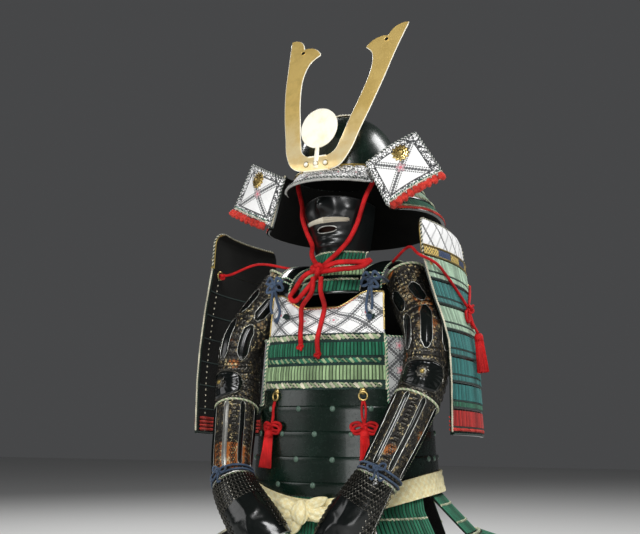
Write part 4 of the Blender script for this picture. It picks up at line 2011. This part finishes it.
def make_mask():
    """A plain lacquered half face: an upper and a lower part that meet at the corners of the open mouth."""
    def gap(angle):
        x = 76 * np.sin(np.radians(angle))
        return LIP_OPEN * np.sqrt(np.clip(1 - (x / LIP_HALF) ** 2, 0, 1))

    def upper(u, v):
        angle = mix(-MASK_SPREAD, MASK_SPREAD, u)
        return mask_point(angle, mix(mask_top(angle), LIP_Z + gap(angle), v))

    def lower(u, v):
        angle = mix(-MASK_SPREAD, MASK_SPREAD, u)
        return mask_point(angle, mix(LIP_Z - gap(angle), MASK_END, v))
    soup = Soup()
    wall(soup, upper, span(0, 1, 64), span(0, 1, 32), PLATE, size=(160, 60), edge=0)
    wall(soup, lower, span(0, 1, 64), span(0, 1, 22), PLATE, size=(160, 40), edge=0)
    lips = np.linspace(-16.2, 16.2, 40)
    for sign in (1, -1):
        line = mask_point(lips, LIP_Z + sign * (gap(lips) + 1.2), 0.4)
        tube(soup, line, 1.25, 8, 2)

    def throat(u, v):
        angle = mix(-20, 20, u)
        return mask_point(angle, mix(LIP_Z + 10, LIP_Z - 10, v), -8.0)
    wall(soup, throat, span(0, 1, 12), span(0, 1, 6), 0.8, size=(40, 16), slot=3, inside=3, edge=3)
    edge_angle = np.linspace(-MASK_SPREAD, MASK_SPREAD, 80)
    tube(soup, mask_point(edge_angle, mask_top(edge_angle), -0.6), 1.5, 8, 0)
    done(soup, "half_mask", ["mask_black", "lining", "steel", "mouth"], ["mask"], sharp=60,
         move=to_world)


def make_moustache():
    soup = Soup()
    for k in range(200):
        r = math.sqrt(chance.random())
        turn = chance.random() * 2 * math.pi
        lift, out = r * math.sin(turn), r * math.cos(turn)
        side = 1 if k % 2 else -1
        t = np.linspace(0, 1, 7)
        taper = 1 - t * t
        far = 26 + 8 * chance.random()
        angle = side * (-1 + (far + 1) * t)
        z = 86 - 1.5 * (t * far / 34) ** 2 + lift * mix(5.6, 3.4, t) - 1.0 * t * chance.random()
        line = mask_point(angle, z, 3.6 + out * mix(2.6, 1.0, t))
        tube(soup, line, 0.42 * (0.35 + 0.65 * taper) + 0.08, 3, 0)
    done(soup, "moustache_hair", ["hair"], ["moustache"], sharp=80, move=to_world)


THROAT_SPREAD = 42
THROAT_ROWS = {
    "v": (0, 0.08, 0.33, 0.36, 0.62, 0.65, 1),
    "drop": (0, 4, 26, 27, 52, 53, 82),
    "out": (0, 1, 13, 13.5, 28, 28.5, 42),
}


def make_throat_guard():
    """Three laced lames that spread from the mask's lower edge over the breast."""
    def plain(u, d):
        drop, far = read(THROAT_ROWS, np.clip(np.asarray(d, float) / 92, 0, 1))
        v = np.clip(np.asarray(d, float) / 92, 0, 1)
        spread = mix(MASK_SPREAD, THROAT_SPREAD, v**0.5)
        angle = mix(-spread, spread, u)
        p = mask_point(angle, float(MASK_END)) + vec(0 * angle, 0 * angle, -SEAM - 0.1 - drop)
        a = np.radians(angle)
        return p + vec(np.sin(a) * far * 0.8, -np.cos(a) * far, 0)
    soup = Soup()
    for start, end, slot in ((1, 30.4, 2), (33, 57, 4), (59.8, 92, 2)):
        shaped = lapped(plain, [start, end - 2, end], [0.1, STEP, STEP * 0.8])
        wide = length_of(on(plain, np.linspace(0, 1, 80), (start + end) / 2))
        wall(soup, plain, span(0, 1, 36), [start, start + 1, (start + end) / 2, end - 3, end - 2, end], PLATE,
             shaped,
             size=(wide, 1), slot=0, inside=1, edge=0)
        rope(soup, shaped, start + 4.4, 3.0, 10, (3, 5), 0.55)
        laced(soup, shaped, wide - 3, start + 8, end - 2.5, slot)
    for u in (0.0, 1.0):
        line = on(raised(plain, 0.5), np.full(40, u), np.linspace(2, 91, 40))
        twist(soup, line[::2], 2.0, 7, (3, 3))
    names = ["lacquer", "lining", "dark_lace", "cream_twist", "light_lace", "sage_twist"]
    done(soup, "throat_guard_laced", names, ["throat_guard"], move=to_world)


# Cords, ties and fittings

KNOT = np.array([5.0, -140.0, -9.0])
LEFT_TAIL = ((7, -9, -15), (6, 3, 1, 2), (-74, -104, -132, -158))
RIGHT_TAIL = ((-8, -10, -15), (-11, -12, -12, -11), (-74, -98, -122, -143))


def tail_route(start, angles, ends):
    at = to_world(KNOT)
    points = [at + np.array(start, float), at + np.array([start[0] * 1.1, start[1] - 3, start[2] - 24.0])]
    for k, (angle, z) in enumerate(zip(angles, ends)):
        points.append(torso(float(angle), float(z), CORD_R + (2.9 if k else 9)))
    return points


def make_tail(side):
    """A free end of the chin cord, with a small knot at its foot."""
    end = END[side]
    line = smooth_line(tail_route(*(LEFT_TAIL if side > 0 else RIGHT_TAIL)), 60)
    soup = Soup()
    tube(soup, line, CORD_R, 16, 0, braid=0.03, ends="round")
    cord = done(soup, f"chin_cord_tail_{end}", ["red_cord"], [f"chin_tail_{end}"])
    soup = Soup()
    down = unit(line[-1] - line[-3])
    out = torso_facing(2.0 if side > 0 else -11.0)
    knot(soup, line[-1] + down * 1.0 + out * 0.5, out, 5.4, 2.3, 0, spin=0.4)
    tip = done(soup, f"chin_cord_end_{end}", ["red_cord"])
    length_of(line) * MM


def chin_route(side):
    rim = bowl(side * 62, 0, -PLATE / 2)
    return [
        rim + (0, 0, -0.6),
        rim + (0, 0, -14),
        mask_point(side * 54, 128, CORD_R + 1.2),
        mask_point(side * 48, 104, CORD_R + 2),
        mask_point(side * 43, 76, CORD_R + 3),
        mask_point(side * 34, 48, CORD_R + 1.1),
        mask_point(side * 22, 26, CORD_R + 14),
        KNOT + (side * 6, 3, 6),
    ]


def loop_route(side, far, sag):
    steps = ((0, 0, 0), (0.4, -4, 6 + sag * 0.3), (0.85, 2, sag * 0.75), (1, 4, sag), (0.85, 1, sag - 9),
             (0.4, -4, sag * 0.6 - 8), (0, 0, -4))
    return [KNOT + (side * far * part, y, z) for part, y, z in steps]


def make_chin_cord():
    """The red cord from the helmet's rim past both cheeks to a bow."""
    soup = Soup()
    for side in (1, -1):
        tube(soup, smooth_line(chin_route(side), 90), CORD_R, 12, 0, braid=0.03, ends="round")
    for side, far, sag in ((1, 100, 5), (-1, 66, -42)):
        tube(soup, smooth_line(loop_route(side, far, sag), 70), CORD_R, 12, 0, braid=0.03, ends="round")
    for tilt, size in ((0.0, 8.2), (0.9, 7.6), (-0.8, 7.8)):
        ring = np.linspace(0, 2 * np.pi, 33)[:-1]
        place = seat(KNOT, (math.sin(tilt), -0.35, math.cos(tilt)))
        tube(soup, place(np.cos(ring) * size, np.sin(ring) * size * 0.8, np.zeros(32)), CORD_R * 0.9, 12, 0,
             closed=True, braid=0.03)
    knot(soup, KNOT + (0, -5, 0), (0, -1, 0.1), 9, 4.2, 0)
    done(soup, "chin_cord_bow", ["red_cord"], ["chin_cord"], move=to_world)


def make_tie(side):
    """A blue cord in loops that holds the shoulder strap, the sleeve and the breastplate."""
    end = END[side]
    point = ARM[side]
    at = torso(37.0 * side, -27.0, THIN_R + 13)
    to_sleeve = point(-52.0 * side, 0.03, THIN_R - 0.3)
    low = torso(34.0 * side, -76.0, THIN_R + SEAM + 0.3)
    lower = torso(36.0 * side, -92.0, THIN_R + SEAM + 0.3)

    def near(x, y, z):
        return at + np.array([x * side, y, z], float)
    soup = Soup()
    loops = (
        [at, near(-7, -4, 14), near(-15, 0, 6), at],
        [at, near(8, -3, 15), near(16, 2, 4), at],
        [at, near(-12, -4, 4), near(-18, -2, -8), near(-8, -4, -9), at],
        [at, near(9, -4, -2), near(15, -2, -12), near(6, -4, -12), at],
        [at, mix(at, low, 0.5) + (0, -3, 0), low, lower],
        [at, near(3, -4, -20), near(5, -5, -40), near(3, -4, -52)],
        [at, near(16, -2, 4), to_sleeve],
    )
    for points in loops:
        tube(soup, smooth_line(points, 30), THIN_R, 10, 0, braid=0.06, ends="round")
    knot(soup, at + (0, -4, 0), torso_facing(37 * side), 6.2, 2.5, 0)
    knot(soup, lower, torso_facing(36 * side), 4.2, 1.9, 0)
    done(soup, f"shoulder_tie_{end}", ["blue_cord"], [f"tie_{end}"])


def make_wrist_tie(side):
    """A short blue cord tied round the cuff."""
    end = END[side]
    point = ARM[side]
    soup = Soup()
    for along, out in ((0.70, 3.6), (0.712, 3.9)):
        ring = point(np.linspace(0, 360, 49)[:-1], np.full(48, along), out + 2)
        tube(soup, smooth_line(ring, 80, True), 1.9, 10, 0, closed=True, braid=0.06)
    turn = 14.0 * side
    at = point(turn, 0.706, 8.0)
    facing = unit(point(turn, 0.706, 9.0) - at)
    place = seat(at, facing)
    for x, y in ((-15, 6), (15, 7), (-10, -15), (12, -17)):
        back = 1 if y > 0 else 0
        points = [place(0.0, 0.0, 0.0), place(x * 0.6, y * 1.2, 1.5),
                  place(np.asarray(float(x)), np.asarray(float(y)), 0.5)]
        if back:
            points += [place(x * 0.8, y - 8.0, 0.5), place(0.0, -1.0, 1.0)]
        tube(soup, smooth_line(points, 36), 1.8, 10, 0, braid=0.06, ends="round")
    knot(soup, at + facing, facing, 4.6, 2.0, 0)
    done(soup, f"wrist_tie_{end}", ["blue_cord"])


FIT_ANGLE = 31.5
TASSEL_R = 10.5


def make_fittings(side):
    """A gilt ring on the first black lame, a red bow on it and a tassel below."""
    end = END[side]
    angle = FIT_ANGLE * side
    facing = torso_facing(angle)
    soup = Soup()
    ring = np.linspace(0, 2 * np.pi, 49)[:-1]
    at = torso(angle, -231.0, 3.0)
    tube(soup, seat(at, facing)(np.cos(ring) * 7.5, np.sin(ring) * 7.5, np.zeros(48)), 1.8, 12, 0,
         closed=True)
    dome(soup, torso(angle, -223.0, 0.6), facing, 6.2, 3.4, 0, 32, 6, lobes=8)
    dome(soup, torso(angle, -223.0, 3.6), facing, 2.4, 1.6, 1, 14, 4)
    done(soup, f"front_ring_{end}", ["gilt", "old_gilt"], [f"fitting_ring_{end}"])

    soup = Soup()
    out = THIN_R + STEP + 0.6
    bow = torso(angle, -284.0, out + 3)
    drops = (-0.5, 0.5) if side > 0 else (0.0,)
    for shift in drops:
        points = [torso(angle + shift, -240.5, THIN_R + 1.2), torso(angle + shift * 2.4, -252, out + 0.4),
                  torso(angle + shift * 2, -268, out), bow]
        tube(soup, smooth_line(points, 50), THIN_R * (0.8 if len(drops) > 1 else 1), 12, 0, braid=0.05)
    for s in (1, -1):
        for grow, low in ((1.0, 0), (0.82, -5)):
            points = [bow, torso(angle + s * 3.6 * grow, -277 + low, out + 4),
                      torso(angle + s * 7.6 * grow, -281 + low, out + 1.6),
                      torso(angle + s * 7.0 * grow, -291 + low, out + 1.2),
                      torso(angle + s * 2.8 * grow, -290 + low, out + 4.4), bow]
            tube(soup, smooth_line(points, 44), THIN_R, 10, 0, braid=0.05)
    knot(soup, bow + facing * 2.5, facing, 5.6, 2.5, 0)
    done(soup, f"front_bow_{end}", ["red_cord"], [f"fitting_bow_{end}"])

    soup = Soup()
    top = torso(angle, -290.2, TASSEL_R + 1.4)
    foot = torso(angle, -361.0, TASSEL_R + STEP + 1.6)
    tassel(soup, top, foot, 74 if side > 0 else 68, TASSEL_R)
    done(soup, f"front_tassel_{end}", ["tassel_silk"], [f"fitting_tassel_{end}"], sharp=80)


def make_guard_cords():
    """The red cords that tie each shoulder guard back, and the left one's bow and tassel."""
    out = THIN_R + STEP + 1.2

    def over(u, z, far=out):
        return guard_point(1, float(u), float(z), far)
    bow = over(0.5, -66, out + 3)
    routes = (
        [strap_point(1, 1.0, 0.4) + (2 * SEAM, 0, 0), np.array([155.0, -66, 34]), np.array([187.0, -101, 14]),
         over(0.06, 2, out + 3.4), over(0.2, -14), over(0.36, -42), bow],
        [over(0.93, -8), over(0.74, -34), bow],
        [bow, over(0.58, -78), over(0.6, -98), over(0.52, -94), bow],
        [bow, over(0.43, -76), over(0.4, -92), over(0.47, -90), bow],
        [bow, over(0.51, -92, out + 3), over(0.52, -111.1, TASSEL_R + STEP + 2)],
    )
    soup = Soup()
    for points in routes:
        tube(soup, smooth_line(points, 60), THIN_R, 10, 0, braid=0.05, ends="round")
    facing = unit(guard_point(1, 0.5, -66, 1) - guard_point(1, 0.5, -66, 0))
    knot(soup, bow + facing * 2, facing, 7.4, 2.8, 0)
    for u, z in ((0.93, -8), (0.06, 2)):
        dome(soup, over(u, z, 2.2), facing, 5.0, 2.6, 1, 24, 5, lobes=8)
    done(soup, "guard_bow_left", ["red_cord", "gilt"], ["guard_cord_left"])

    soup = Soup()
    top, foot = (over(0.52, z, TASSEL_R + STEP + 2.4) for z in (-112, -184))
    tassel(soup, top, foot, 72, TASSEL_R)
    done(soup, "guard_silk_tassel_left", ["tassel_silk"], ["guard_tassel_left"], sharp=80)

    soup = Soup()

    def inside(far):
        return guard_point(-1, 0.88, 6.0, far - LACED)
    points = [strap_point(-1, 0.0, 0.4) + (-2 * SEAM, 0, 0), np.array([-165.0, -45, 24]), inside(-24.0),
              inside(-1.6)]
    tube(soup, smooth_line(points, 70), THIN_R, 12, 0, braid=0.05, ends="round")
    at = inside(-4.6)
    facing = np.array([1.0, -0.1, 0])
    ring = np.linspace(0, 2 * np.pi, 33)[:-1]
    tube(soup, seat(at, facing)(np.cos(ring) * 7.5, np.sin(ring) * 7.5, np.zeros(32)), 1.7, 10, 1,
         closed=True)
    knot(soup, at + (3, 0, -2), facing, 5.0, 2.3, 0)
    done(soup, "guard_tie_right", ["red_cord", "gilt"], ["guard_cord_right"])


make_camera()
KIT = make_materials()
for one_side in (1, -1):
    make_tail(one_side)
make_lights()
make_floor()

front_leather = stencil("breast_leather", 226, 74, "dotted", border=0.0, cell=(58.0, 44.0), age=0.18)
back_leather = stencil("back_leather", 290, 110, "dotted", border=10.0, cell=(34.0, 30.0))
make_leather_top("breast_leather_top", "breast_top", -FRONT_EDGE, FRONT_EDGE, neck_edge, front_leather,
                 [(-28, -86, 0.3), (36, -88, 1.1)])
make_leather_top("back_leather_top", "back_top", 180 - BACK_EDGE, 180 + BACK_EDGE,
                 lambda angle: BACK_TOP + 0.0 * angle, back_leather, [])
make_lacing("breast_laced_rows", "breast_lacing", -FRONT_EDGE, FRONT_EDGE)
make_lacing("back_laced_rows", "back_lacing", 180 - BACK_EDGE, 180 + BACK_EDGE)
make_lames("breast_black_lames", "breast_lames", 0)
make_lames("back_black_lames", "back_lames", 180)
for one_side in (1, -1):
    make_side_panel(one_side)
    make_strap(one_side)
make_sash()
make_sash_knot()
for panel in SKIRT_PANELS:
    make_skirt_panel(*panel)
for one_side in (1, -1):
    make_guard_cap(one_side)
    make_guard(one_side)
    make_sleeve(one_side)
    make_elbow(one_side)
    make_hand(one_side)
    make_wrist_tie(one_side)
    make_turnback(one_side)
    make_tie(one_side)
    make_fittings(one_side)
make_guard_cords()
make_bowl()
make_crown_ring()
make_visor()
make_neck_guard()
make_crest()
make_disc()
make_mask()
make_moustache()
make_throat_guard()
make_chin_cord()
